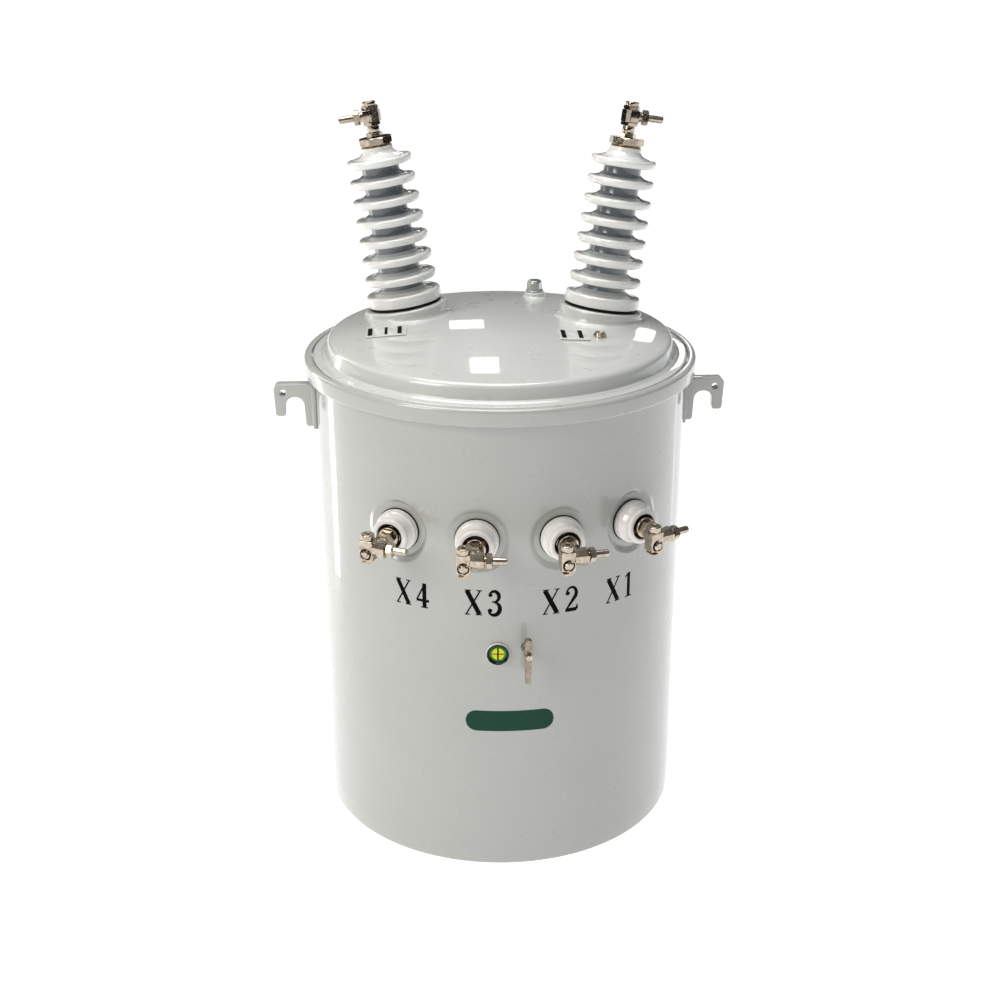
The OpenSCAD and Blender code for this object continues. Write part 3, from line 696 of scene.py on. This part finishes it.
plug_low, plug_high = box_mm("relief_plug")
plug_middle = (plug_low + plug_high) / 2
plug_frame = Matrix.Translation((plug_middle.x, plug_middle.y, plug_low.z))
seats = [seat_shape(hv_frames[side], HV_SEAT_R, 18, 3.0, 7) for side in ("left", "right")]
seats.append(seat_shape(plug_frame, 14, 6, 1.5, 4))
piece("cover_bosses", joined(*seats), cover_enamel, "cover_seats")


def plug_shape():
    return joined(turned([(0, 0), (11.5, 0, 0.5), (11.5, 3, 0.8), (0, 3)], 3, 64),
                  nut(18.2, 10.5, 3, both=False),
                  turned([(0, 13), (9, 13), (8.6, 15.5, 1.2), (0, 15.5)], 4, 64))


piece("relief_plug_hex", plug_shape(), zinc, "relief_plug", matrix=plug_frame)


# ---- High voltage bushings ----

def hv_profile():
    """Profile of the porcelain from foot to head, and the height ranges of its necks."""
    def share(z):
        return (z - hv_first_shed) / (hv_last_shed - hv_first_shed)

    def core(z):
        return HV_CORE_R[0] + (HV_CORE_R[1] - HV_CORE_R[0]) * share(z)

    foot = HV_GASKET_T
    top = foot + HV_SKIRT_H
    corners = [(0, foot), (HV_SKIRT_R - 0.5, foot, 1.2), (HV_SKIRT_R, top - 0.8, 3.2),
               (HV_SKIRT_R - 9.0, top - 0.2, 5), (core(top) + 4.5, top + 2.0, 6), (core(top), top + 5.4, 1.5)]
    necks = []
    for k in range(HV_SHEDS):
        z = hv_first_shed + k * HV_PITCH
        edge = HV_SHED_R[0] + (HV_SHED_R[1] - HV_SHED_R[0]) * k / (HV_SHEDS - 1)
        low = z - HV_RIM / 2
        high = z + HV_RIM / 2
        necks.append((corners[-1][1], low))
        corners += [(core(low), low + 1.4, 1.4), (edge - 2.0, low, 4.0), (edge, high - 0.6, 4.3)]
        if k < HV_SHEDS - 1:
            corners += [(edge - 9.0, high - 0.2, 5), (core(high) + 4.5, high + 1.6, 6),
                        (core(high), high + 5.0, 1.5)]
        else:
            corners += [(edge - 9.0, high - 0.2, 5), (23.0, high + 3.2, 6), (20.0, high + 7.5, 2.5),
                        (20.0, hv_head_top, 1.2), (0, hv_head_top)]
    return fillet_path(corners, 5), necks


def hv_porcelain(side):
    profile, necks = hv_profile()
    made = piece("bushing_porcelain_" + side, spin(profile, 128), shed_glaze, "hv_porcelain_" + side,
                 matrix=hv_frames[side], sharp=60)
    # Painted shade: faces by the necks take the darker glaze copies, the darkest on the neck itself and a mid
    # tone on the shed roots round it.
    made.data.materials.append(neck_painted_shade_glaze)
    made.data.materials.append(root_painted_shade_glaze)
    back = hv_frames[side].inverted()
    for face in made.data.polygons:
        p = back @ (face.center / MM)
        r = math.hypot(p.x, p.y)
        if any(low - 4.6 < p.z < high + 1.6 for low, high in necks):
            face.material_index = 1 if r < HV_CORE_R[0] + 1.2 else 2 if r < HV_CORE_R[0] + 6 else 0
    return made


def hv_hardware(side):
    """Big eight-sided nut, stud with its hexes, block, cap and side pin."""
    sign = -1 if side == "left" else 1
    local = hv_frames[side]
    nut_top = hv_nut_low + HV_NUT_T
    piece("bushing_nut_" + side, nut(40.6, HV_NUT_T, hv_nut_low, sides=8, chamfer=0.8), nickel,
          "hv_nut_" + side, matrix=local)
    collar = nut(18.2, 5.5, nut_top)
    barrel = moved(turned([(0, 5), (6.6, 5), (6.6, 6.5, 0.3), (7.8, 6.5, 0.6), (7.8, 13.5, 0.6),
                           (6.8, 13.5, 0.3), (6.8, 15), (0, 15)], 3, 64), shift(z=nut_top))
    washer = moved(nut(20.8, 4.5, nut_top + 14.5), turn(14, "Z"))
    end = rod(5.2, 12, hv_block_low + 13, 0.8, 48, thread=1.5)
    piece("bushing_stud_" + side, joined(collar, barrel, washer, end), nickel, "hv_stud_" + side,
          matrix=local)
    local = local @ turn(-hv_angle(side) - HV_LEAN, "Z")
    body = block((10.5, 19.6, 15), 1.1, (sign * 4.7, 0, hv_block_low + 7.5))
    column = moved(nut(13.4, 15, hv_block_low), shift(x=-sign * 4.6, y=-2.6) @ turn(12, "Z"))
    rear = block((9, 11, 14), 1.0, (-sign * 4.6, 4.0, hv_block_low + 7.5))
    boss = moved(rod(6.5, 13, 0, 0.8), shift(z=hv_block_low + 7.5) @ turn(90 * sign, "Y"))
    piece("bushing_block_" + side, joined(body, column, rear, boss), nickel, "hv_connector_" + side,
          matrix=local)
    top = hv_block_low + 15
    cap = joined(moved(nut(18.7, 5, top), turn(8, "Z")),
                 moved(turned([(0, 5), (8.3, 5, 0.2), (8.5, 10, 1.3), (6, 10, 0.3), (5.6, 9), (0, 9)], 4, 64),
                       shift(z=top)))
    piece("bushing_cap_" + side, cap, nickel, "hv_cap_" + side, matrix=local)
    out = shift(x=sign * 13, z=hv_block_low + 7.5) @ turn(90 * sign, "Y")
    return [moved(moved(shape, out), local) for shape in (
        nut(16.4, 8, 1), rod(5.4, 1.5, -0.2, 0.3), rod(SIDE_R, 19, 9, 1.0, 48))]


side_pins = []
for side in ("left", "right"):
    hv_porcelain(side)
    side_pins += hv_hardware(side)
piece("bushing_side_pins", joined(*side_pins), nickel, "hv_pins")
foot_gasket = turned([(0, 0.0), (46.3, 0.0, 1.2), (46.3, 4.0, 1.2), (0, 4.0)], 4, 128)
piece("bushing_gaskets", joined(*[moved(foot_gasket, local) for local in hv_frames.values()]), rubber,
      "hv_gaskets")
head_ring = moved(turned([(0, 0), (18.6, 0, 0.6), (18.6, 2.5, 0.6), (0, 2.5)], 3), shift(z=hv_head_top))
piece("bushing_rings", joined(*[moved(head_ring, local) for local in hv_frames.values()]), brass,
      "hv_rings")


# ---- Low voltage bushings ----

def lv_profile():
    foot, lip = 1.5, 27.0
    return fillet_path([
        (0, foot), (26.3, foot, 0.8), (26.3, foot + 3.6, 0.8), (25.5, foot + 4.2, 0.5),
        (25.9, foot + 5.4, 0.8), (25.7, foot + 8.2, 1.4), (23.6, foot + 9.6, 2.0), (21.2, foot + 14.6, 4),
        (20.4, lip - 8.6, 1.5),
        (22.2, lip - 6.6, 2.6), (22.2, lip, 4.2), (15.9, lip, 1.6), (15.6, lip - 11), (0, lip - 11)], 6)


def lv_stud_shape():
    low = 16.0
    discs = turned([
        (0, low), (13, low, 0.5), (13, low + 5, 0.8), (11.3, low + 5.4, 0.4), (11.3, low + 9.8, 0.4),
        (12.9, low + 10.2, 0.6), (12.3, low + 14, 0.8), (0, low + 14)], 3)
    return joined(discs, nut(18.2, 20, low + 13.8, both=False))


def jaw_outline():
    """The jaw seen from its front: square shoulders above, a six-sided hook below and a slit."""
    half = 8.5
    slit = JAW_ROD_Y - JAW_ROD_R - 3.0
    return fillet_path([
        (JAW_X - half, 8.5, 1.5), (JAW_X - half, slit + 1.2, 0.8), (-10.5, slit + 0.9, 0.8),
        (-10.5, slit - 1.1, 0.8), (JAW_X - half, slit - 1.7, 1.0), (JAW_X - half + 5.5, -21, 1.5),
        (JAW_X + 3.5, -21, 1.5), (JAW_X + half, -16, 1.5), (JAW_X + half, 8.5, 1.5)], 3, closed=True)


def lv_connector_shape():
    jaw = moved(slab([jaw_outline(), circle(JAW_X, JAW_ROD_Y, 6.9)], 15, 0.9), shift(z=-8))
    floor = moved(rod(7.4, 2.5, 0, 0.4), shift(JAW_X, JAW_ROD_Y, -7.6))
    facets = sided(20.0, 8, 0.97)
    body = [(0, -5), lambda a: (facets(a) * 0.62, -5), lambda a: (facets(a) * 0.78, -3.6),
            lambda a: (facets(a) * 1.02, 8.4), lambda a: (facets(a), 9.4), lambda a: (facets(a), 11.6),
            lambda a: (facets(a) * 0.9, 13), (0, 13)]
    flare = moved(spin(body, 96), shift(y=-1) @ turn(90, "Y") @ turn(22.5, "Z"))
    shoulder = moved(block((12, 13, 13), 2.2), shift(x=-6, y=1, z=-1) @ turn(38, "Z"))
    back = turned([(0, -13), (8.8, -13), (7.6, -7, 3), (8.2, -3, 2), (0, -3)], 4, 64)
    return joined(jaw, floor, flare, shoulder, back)


def lv_screw_shape():
    """Round cap of the clamping screw, with a hex socket."""
    socket = sided(5.0, corner_share=1.0)
    outside = fillet_path([(0, -1.5), (3.2, -1.5), (3.2, 0.2), (7.6, 0.2, 0.6), (8, 1.2, 0.6), (8, 7.5, 1.3),
                           (4.6, 7.5, 0.3), (4.2, 7.0, 0.2)], 4)
    inside = [lambda a: (socket(a) + 0.2, 7.0), lambda a: (socket(a), 6.8), lambda a: (socket(a), 4.2),
              (0, 4.0)]
    return spin(outside + inside, 72)


for name in LV_NAMES:
    local = lv_frames[name]
    arm = local @ shift(z=LV_ARM)
    piece("porcelain_" + name, spin(lv_profile(), 128), white_glaze, "lv_porcelain_" + name,
          matrix=local, sharp=50)
    piece("stud_" + name, lv_stud_shape(), nickel, "lv_stud_" + name, matrix=local)
    piece("connector_" + name, lv_connector_shape(), nickel, "lv_connector_" + name,
          matrix=arm)


def at_each_lv(shape, matrix):
    return joined(*[moved(shape, lv_frames[name] @ shift(z=LV_ARM) @ matrix) for name in LV_NAMES])


foot_seal = turned([(0, 0), (27.1, 0, 0.5), (27.1, 1.5, 0.5), (0, 1.5)], 3)
mouth_seal = turned([(13.3, 16), (15.5, 16), (15.5, 25.2, 0.6), (13.3, 24.4, 0.4)], 3, closed=True)
seals = joined(foot_seal, mouth_seal)
piece("gaskets_low", joined(*[moved(seals, lv_frames[name]) for name in LV_NAMES]), rubber,
      "lv_gaskets")
piece("clamp_screws", at_each_lv(lv_screw_shape(), shift(x=JAW_X, y=8.5) @ turn(-90, "X")), nickel,
      "lv_screws")
piece("clamp_rods", at_each_lv(rod(JAW_ROD_R, 17.2, -7.8, 1.6), shift(x=JAW_X, y=JAW_ROD_Y)), nickel,
      "lv_rods")
side_pin = joined(nut(15.6, 7, LV_NUT_SEAT), rod(5.2, 2.4, 0, 0.3), rod(SIDE_R, 17, 9, 1.0))
piece("side_pins", at_each_lv(side_pin, shift(x=LV_BARREL_END) @ turn(90, "Y")), nickel,
      "lv_pins")


# ---- Lifting lugs ----

def lug_shape():
    """A plate cut with an arm, a notch and a prong, on a backing strip; drawn for the right side."""
    out = box_mm("lifting_lug_right")[1].x
    top = box_mm("lifting_lug_right")[1].z
    hole = Vector(mounts["lug_eye_right"]["pos_m"]) / MM
    prong_w, notch_w = 11.0, 23.0
    prong_in = out - 4 - prong_w
    outline = fillet_path([
        (tank_r + 1, top), (out, top, 7), (out - 2, top - 42, 4), (prong_in, top - 42, 4),
        (prong_in, top - 17, 11), (prong_in - notch_w, top - 17, 11), (tank_r + 14, top - 56, 4),
        (tank_r + 1, top - 56)], 8, closed=True)
    plate = slab([outline, circle(hole.x, hole.z, 4.2)], 16, 1.0, 4)
    strip, strip_faces = slab([rectangle(-17, top - 58, 17, top - 2, 3, 3)], 5, 1.2)
    bent = []
    for x, y, z in strip:
        angle = x / tank_r
        radius = tank_r + z
        bent.append((radius * math.cos(angle), radius * math.sin(angle), y))
    beads = []
    for side in (-1, 1):
        path = []
        for k in range(53):
            here = Vector((tank_r + 5.0, side * 8.0, top - 54 + k))
            path.append((here, Vector((0.7, side * 0.7, 0)), Vector((-0.7, side * 0.7, 0))))
        beads.append(weld_bead(path, 4.5))
    return joined(moved(plate, shift(y=8) @ TO_FRONT), (bent, strip_faces), *beads)


right_lug = lug_shape()
piece("lug_right", right_lug, tank_enamel, "lifting_lug_right")
piece("lug_left", moved(right_lug, turn(180, "Z")), tank_enamel, "lifting_lug_left")


# ---- Hanger brackets ----

def hanger_shape():
    low, high = box_mm("hanger_brackets")
    height, width, plate_t = 70.0, high.x - low.x, 8.0
    spacing = mounts["hanger_bolts"]["dims"]["spacing_y_mm"]
    shapes = []
    for z in (high.z - height / 2, high.z - height / 2 - spacing):
        face = rectangle(-width / 2, -height / 2, width / 2, height / 2, 6)
        plate = slab([face, circle(0, 0, 9)], plate_t, 1.2)
        shapes.append(moved(plate, shift(y=high.y - plate_t, z=z) @ TO_BACK))
        root = math.sqrt(tank_r ** 2 - (width / 2) ** 2) - 1
        side_outline = fillet_path([(root, -height / 2), (high.y - 1, -height / 2, 8),
                                    (high.y - 1, height / 2, 8), (root, height / 2)], 4, closed=True)
        wing = slab([side_outline], plate_t, 1.2)
        for x in (-width / 2, width / 2 - plate_t):
            shapes.append(moved(wing, shift(x=x, z=z) @ TO_RIGHT))
        for side in (-1, 1):
            x = side * (width / 2)
            y = math.sqrt(tank_r ** 2 - x * x)
            normal, across = Vector((side * 0.7, 0.7, 0)), Vector((side * 0.7, -0.7, 0))
            foot = Vector((x, y + 1, z - height / 2 + 2))
            path = [(foot + Vector((0, 0, k)), normal, across) for k in range(int(height) - 3)]
            shapes.append(weld_bead(path, 5.0))
    return joined(*shapes)


piece("pole_brackets", hanger_shape(), tank_enamel, "hanger_brackets")


# ---- Oil sight gauge ----

gauge_local = front_frame(middle_mm("gauge_glass"))


def gauge_cross():
    def bar(x, y):
        return slab([rectangle(-x, -y, x, y)], 0.3, 0.05)
    return joined(moved(bar(0.9, 7.7), shift(z=1.75)), moved(bar(7.7, 0.5), shift(z=1.7)))


piece("gauge_housing", turned([
    (9.8, 1.0), (12.0, 4.4, 0.4), (12.6, 5.0, 0.4), (13.6, 4.6, 0.3), (13.7, -0.6), (9.8, -0.6)],
    closed=True), black_plastic, "gauge_bezel", matrix=gauge_local)
piece("gauge_rim", turned([(13.7, -0.6), (13.6, 4.3, 0.2), (14.2, 3.8, 0.4), (14.4, -0.6)], closed=True),
      plate_enamel, None, matrix=gauge_local)
piece("gauge_ring", turned([(7.7, 1.1), (7.7, 1.9, 0.2), (8.8, 2.7, 0.5), (10.4, 2.0), (10.4, 1.0)]),
      green_plastic, None, matrix=gauge_local)
piece("gauge_target", spin([(0, 1.8), (7.9, 1.8), (7.9, 1.2), (0, 1.2)], 72), yellow_print,
      "gauge_glass", matrix=gauge_local)
piece("gauge_mark", gauge_cross(), black_print, None, matrix=gauge_local)


# ---- Breaker lever ----

lever_local = front_frame(Vector(frame["record"]["behaviour"]["joints"][0]["pos_m"]) / MM)


def lever_shape():
    """A tapered blade with rounded edges, a hub and a hole for its shaft."""
    outline = fillet_path([(-4.4, 22, 4.2), (-4.4, 4), (-3.3, -38, 1.6), (3.3, -38, 1.6), (4.4, 4),
                           (4.4, 22, 4.2)], 6, closed=True)
    blade = moved(slab([outline], 6, 1.4, 4), shift(z=18))
    hub = turned([(2.7, 18.2), (5, 18.2, 0.6), (5, 24.8, 0.9), (2.7, 24.8, 0.3)], 4, 64, closed=True)
    return joined(blade, hub)


piece("breaker_lever", lever_shape(), nickel_dull, "lever", body="handle", matrix=lever_local)
piece("breaker_shaft", joined(rod(2.6, 25, 3, 0.4), nut(7.2, 4, 25), rod(1.9, 1.2, 28.6, 0.3, 40)), nickel,
      "lever_shaft", body="handle", matrix=lever_local)
piece("breaker_boss", joined(
    turned([(2.7, -0.3), (6, -0.3), (6, 5, 1.0), (2.7, 5)], 4, 72, closed=True),
    nut(9.5, 6, 5, bore=2.7)), nickel_dull, "lever_boss", matrix=lever_local)


# ---- Marks ----

def stroke(points, widths):
    """A flat brush stroke as a strip 0.16 mm thick: points and widths along it, on a plane."""
    made, faces = [], []
    count = len(points)
    for k in range(count):
        here = Vector(points[k])
        ahead = Vector(points[min(k + 1, count - 1)]) - Vector(points[max(k - 1, 0)])
        side = Vector((-ahead.y, ahead.x)).normalized() * (widths[k] / 2)
        for z in (-0.3, 0.16):
            for s in (-1, 1):
                made.append((here.x + s * side.x, here.y + s * side.y, z))
    for k in range(count - 1):
        a, b = 4 * k, 4 * (k + 1)
        faces += [[a, a + 1, b + 1, b], [a + 2, b + 2, b + 3, a + 3], [a, b, b + 2, a + 2],
                  [a + 1, a + 3, b + 3, b + 1]]
    end = 4 * (count - 1)
    faces += [[0, 2, 3, 1], [end, end + 1, end + 3, end + 2]]
    return made, faces


def line(a, b, width_a, width_b):
    steps = 14
    points = [(a[0] + (b[0] - a[0]) * k / steps, a[1] + (b[1] - a[1]) * k / steps) for k in range(steps + 1)]
    return stroke(points, [width_a + (width_b - width_a) * k / steps for k in range(steps + 1)])


def sweep(centre, radii, start, end, widths):
    """An arc of an ellipse whose width swells from one end to the other through its middle."""
    steps = 26
    points, sizes = [], []
    for k in range(steps + 1):
        t = k / steps
        a = math.radians(start + (end - start) * t)
        points.append((centre[0] + radii[0] * math.cos(a), centre[1] + radii[1] * math.sin(a)))
        swell = widths[1] - (widths[0] + widths[2]) / 2
        sizes.append(widths[0] + (widths[2] - widths[0]) * t + swell * math.sin(math.pi * t))
    return stroke(points, sizes)


def dot(x, y, r):
    return stroke([(x - r + 2 * r * k / 12, y) for k in range(13)],
                  [max(0.05, 2 * math.sqrt(max(r * r - (r - 2 * r * k / 12) ** 2, 0))) for k in range(13)])


def glyph(letter):
    """Black marking letters in a plain book face, 1 unit high, on their own baseline."""
    if letter == "X":
        return [line((0.08, 0.96), (0.54, 0.04), 0.175, 0.175),
                line((0.56, 0.96), (0.06, 0.04), 0.055, 0.055),
                line((0.0, 0.98), (0.23, 0.98), 0.04, 0.04), line((0.44, 0.98), (0.64, 0.98), 0.04, 0.04),
                line((0.0, 0.02), (0.19, 0.02), 0.04, 0.04), line((0.40, 0.02), (0.64, 0.02), 0.04, 0.04)]
    if letter == "1":
        return [line((0.24, 0.98), (0.24, 0.03), 0.15, 0.15), line((0.06, 0.84), (0.26, 0.97), 0.04, 0.08),
                line((0.08, 0.02), (0.40, 0.02), 0.04, 0.04)]
    if letter == "2":
        return [sweep((0.25, 0.73), (0.19, 0.24), 165, -32, (0.06, 0.10, 0.15)),
                line((0.425, 0.62), (0.06, 0.10), 0.15, 0.06), line((0.02, 0.07), (0.46, 0.07), 0.14, 0.14),
                line((0.455, 0.07), (0.49, 0.26), 0.12, 0.03), dot(0.10, 0.74, 0.08)]
    if letter == "3":
        return [sweep((0.22, 0.76), (0.18, 0.21), 150, -88, (0.06, 0.14, 0.06)),
                sweep((0.21, 0.28), (0.22, 0.26), 92, -150, (0.06, 0.16, 0.06)),
                line((0.14, 0.55), (0.24, 0.55), 0.05, 0.05), dot(0.09, 0.82, 0.075), dot(0.07, 0.20, 0.08)]
    if letter == "4":
        return [line((0.34, 0.98), (0.34, 0.03), 0.16, 0.16), line((0.36, 0.97), (0.03, 0.30), 0.06, 0.06),
                line((0.02, 0.29), (0.52, 0.29), 0.10, 0.10), line((0.20, 0.02), (0.48, 0.02), 0.04, 0.04)]
    return []


MARK_H = 33.0


def wall_mark(text, angle, z):
    """A two-letter mark wrapped on the tank wall, centred at an angle from the front and a height."""
    width = (0.62, 0.23, 0.5)
    start = -sum(width) / 2
    shapes = []
    for letter, offset in zip(text, (start, start + width[0] + width[1])):
        shapes += [([((x + offset) * MARK_H, (y - 0.5) * MARK_H, h) for x, y, h in points], faces)
                   for points, faces in glyph(letter)]
    points, faces = joined(*shapes)
    wrapped = []
    for x, y, h in points:
        a = math.radians(angle) + x / tank_r
        r = tank_r + h
        wrapped.append((r * math.sin(a), -r * math.cos(a), z + y))
    return wrapped, faces


WALL_MARKS = (("X4", -29.9, 370.1), ("X3", -7.9, 368.6), ("X2", 15.0, 366.8), ("X1", 35.8, 365.6))
piece("wall_marks", joined(*[wall_mark(*mark) for mark in WALL_MARKS]), black_print, None)


def decal_shape():
    """A blank label: a plain rounded bar bent on the wall."""
    points, faces = [], []
    columns = 72
    half_length, end_r = 55, 14
    for k in range(columns + 1):
        x = -half_length + 2 * half_length * k / columns
        inset = max(0.0, abs(x) - half_length + end_r)
        half = 0.1 + math.sqrt(max(end_r ** 2 - inset ** 2, 0))
        for r in (tank_r - 0.2, tank_r + 0.18):
            for y in (-half, half):
                a = x / tank_r
                points.append((r * math.sin(a), -r * math.cos(a), y))
    for k in range(columns):
        a, b = 4 * k, 4 * (k + 1)
        faces += [[a, b, b + 1, a + 1], [a + 2, a + 3, b + 3, b + 2], [a, a + 2, b + 2, b],
                  [a + 1, b + 1, b + 3, a + 3]]
    end = 4 * columns
    faces += [[0, 1, 3, 2], [end, end + 2, end + 3, end + 1]]
    return points, faces


piece("blank_label", decal_shape(), green_decal, None, matrix=shift(z=208))


# ---- Plates on the cover ----

def dome_frame(x, y):
    """Local frame on the dome, level with its slope and square to the front."""
    r = math.hypot(x, y)
    z = dome_z(r)
    out = Vector((x, y, z - (dome_top - dome_sphere_r))).normalized()
    across = Vector((0, 1, 0)).cross(out).normalized()
    return axes(Vector((x, y, z)), across, out.cross(across), out)


def cover_marks():
    """Two thin plates with pale edges and raised black bars."""
    node = frame["nodes"]["marker_plates"]
    points = [v.co / MM for v in node.data.vertices]
    for side, width, bars in ((-1, 50, (-20, 0, 17)), (1, 38, (-13, 8))):
        mine = [p for p in points if p.x * side > 0]
        centre = sum(mine, Vector()) / len(mine)
        local = dome_frame(centre.x, centre.y)
        name = "left" if side < 0 else "right"
        outline = rectangle(-width / 2, -21, width / 2, 21, 2)
        piece("marker_plate_" + name, slab([outline], 1.4, 0.4), cover_enamel,
              "marker_plates" if side < 0 else None, matrix=local @ shift(z=0.1))
        inner = rectangle(-width / 2 + 1.3, -19.7, width / 2 - 1.3, 19.7, 1)
        outer = rectangle(-width / 2 + 0.4, -20.6, width / 2 - 0.4, 20.6, 1.6)
        piece("marker_edge_" + name, slab([outer, inner], 0.5, 0.1), plate_enamel, None,
              matrix=local @ shift(z=1.2))
        shapes = []
        for k, x in enumerate(bars):
            thick = 5.4 if k != 1 or side > 0 else 3.6
            bar = slab([rectangle(x - thick / 2, -15, x + thick / 2, 15)], 0.5, 0.12)
            shapes.append(moved(bar, local @ shift(z=1.5)))
        piece("marker_bars_" + name, joined(*shapes), black_print, None)


cover_marks()
button_middle = middle_mm("cover_button")
piece("cover_stud", turned([
    (0, 0), (8, 0, 0.3), (8, 2.2, 0.6), (7.2, 2.6, 0.3), (7.4, 3.4, 0.3), (7.0, 5, 0.9), (4.6, 5, 0.4),
    (4.2, 4.2, 0.3), (0, 4.2)], 4, 72), nickel, "cover_button",
    matrix=dome_frame(button_middle.x, button_middle.y) @ shift(z=0.1))


# ---- Floor, world and lights ----

def stage_piece(name, shape, strength):
    """Part of the stage, in white paper lit from behind: an even white with hardly a shadow on it."""
    mesh = bpy.data.meshes.new(name)
    mesh.from_pydata([(x * MM, y * MM, z * MM) for x, y, z in shape[0]], [], shape[1])
    mesh.shade_smooth()
    made = bpy.data.objects.new(name, mesh)
    bpy.context.scene.collection.objects.link(made)
    paper = new_material("backlit_white_" + name, "#9C9C9C", "#9A9A9A", 400.0, 2.0, {
        "Roughness": 0.9, "Specular IOR Level": 0.1, "Emission Color": linear("#FFFFFF"),
        "Emission Strength": strength})
    mesh.materials.append(paper[0])
    return made


def make_stage():
    """A wide floor, and a far round wall that lights nothing, as only the camera sees it."""
    size = 40000.0
    corners = [(-size, -size, 0), (size, -size, 0), (size, size, 0), (-size, size, 0)]
    floor = stage_piece("floor", (corners, [(0, 1, 2, 3)]), 0.97)
    floor.location.z = -0.0005
    wall = stage_piece("backdrop", spin([(14000.0, -10.0), (14000.0, 15000.0)], 96), 1.0)
    wall.visible_diffuse = False
    wall.visible_glossy = False
    wall.visible_transmission = False
    wall.visible_volume_scatter = False
    wall.visible_shadow = False


def softbox(name, place, aim, size, power, colour):
    """A rectangular softbox, out of the camera's sight, pointed at a target, with its power in watts."""
    data = bpy.data.lights.new(name, "AREA")
    data.shape = "RECTANGLE"
    data.size, data.size_y = size
    data.energy = power
    data.color = linear(colour)[:3]
    light = bpy.data.objects.new(name, data)
    light.location = place
    direction = Vector(aim) - Vector(place)
    light.rotation_euler = direction.to_track_quat("-Z", "Y").to_euler()
    light.visible_camera = False
    bpy.context.scene.collection.objects.link(light)


def make_world():
    """A dim room: paler to the left, with a dark wall low down that gives bright metal its contrast."""
    world = bpy.data.worlds.new("studio")
    world.use_nodes = True
    tree = world.node_tree
    coords = add(tree, "ShaderNodeTexCoord")
    split = add(tree, "ShaderNodeSeparateXYZ", Vector=coords.outputs["Generated"])
    ramp = add(tree, "ShaderNodeValToRGB", Fac=split.outputs["X"])
    ramp.color_ramp.elements[0].color = linear("#CFCFC8")
    ramp.color_ramp.elements[1].color = linear("#8C929A")
    wall = add(tree, "ShaderNodeValToRGB", Fac=split.outputs["Z"])
    wall.color_ramp.elements[0].position = 0.24
    wall.color_ramp.elements[0].color = grey(0.06)
    wall.color_ramp.elements[1].position = 0.34
    wall.color_ramp.elements[1].color = grey(1.0)
    both = add(tree, "ShaderNodeMix", {"data_type": "RGBA", "blend_type": "MULTIPLY", 0: 1.0},
               i6=ramp.outputs["Color"], i7=wall.outputs["Color"])
    background = tree.nodes["Background"]
    tree.links.new(both.outputs[2], background.inputs["Color"])
    background.inputs["Strength"].default_value = 0.42
    bpy.context.scene.world = world


make_stage()
make_world()
for softbox_row in (
        ("key_left", (-2.4, -1.9, 2.2), (0, 0, 0.4), (1.2, 2.0), 44.0, "#FFFAF2"),
        ("overhead", (-0.3, 0.1, 3.2), (0, 0, 0.6), (2.0, 2.0), 62.0, "#FFFFFF"),
        ("strip_left", (-0.72, 0.36, 0.55), (0, 0, 0.45), (0.10, 1.1), 1.2, "#FFF8EC"),
        ("strip_right", (0.74, 0.52, 0.55), (0, 0, 0.45), (0.07, 1.1), 0.15, "#D8E4FF"),
        ("window_middle", (0.02, 3.36, 1.6), (0, 0, 0.65), (0.16, 0.16), 0.34, "#FFFFFF"),
        ("window_right", (0.85, 3.26, 1.61), (0.18, 0, 0.65), (0.16, 0.26), 0.42, "#FFFFFF"),
        ("window_front", (0.08, 2.98, 2.19), (0, -0.15, 0.65), (0.14, 0.22), 0.6, "#FFFFFF")):
    softbox(*softbox_row)
bpy.context.scene.view_settings.view_transform = "Standard"
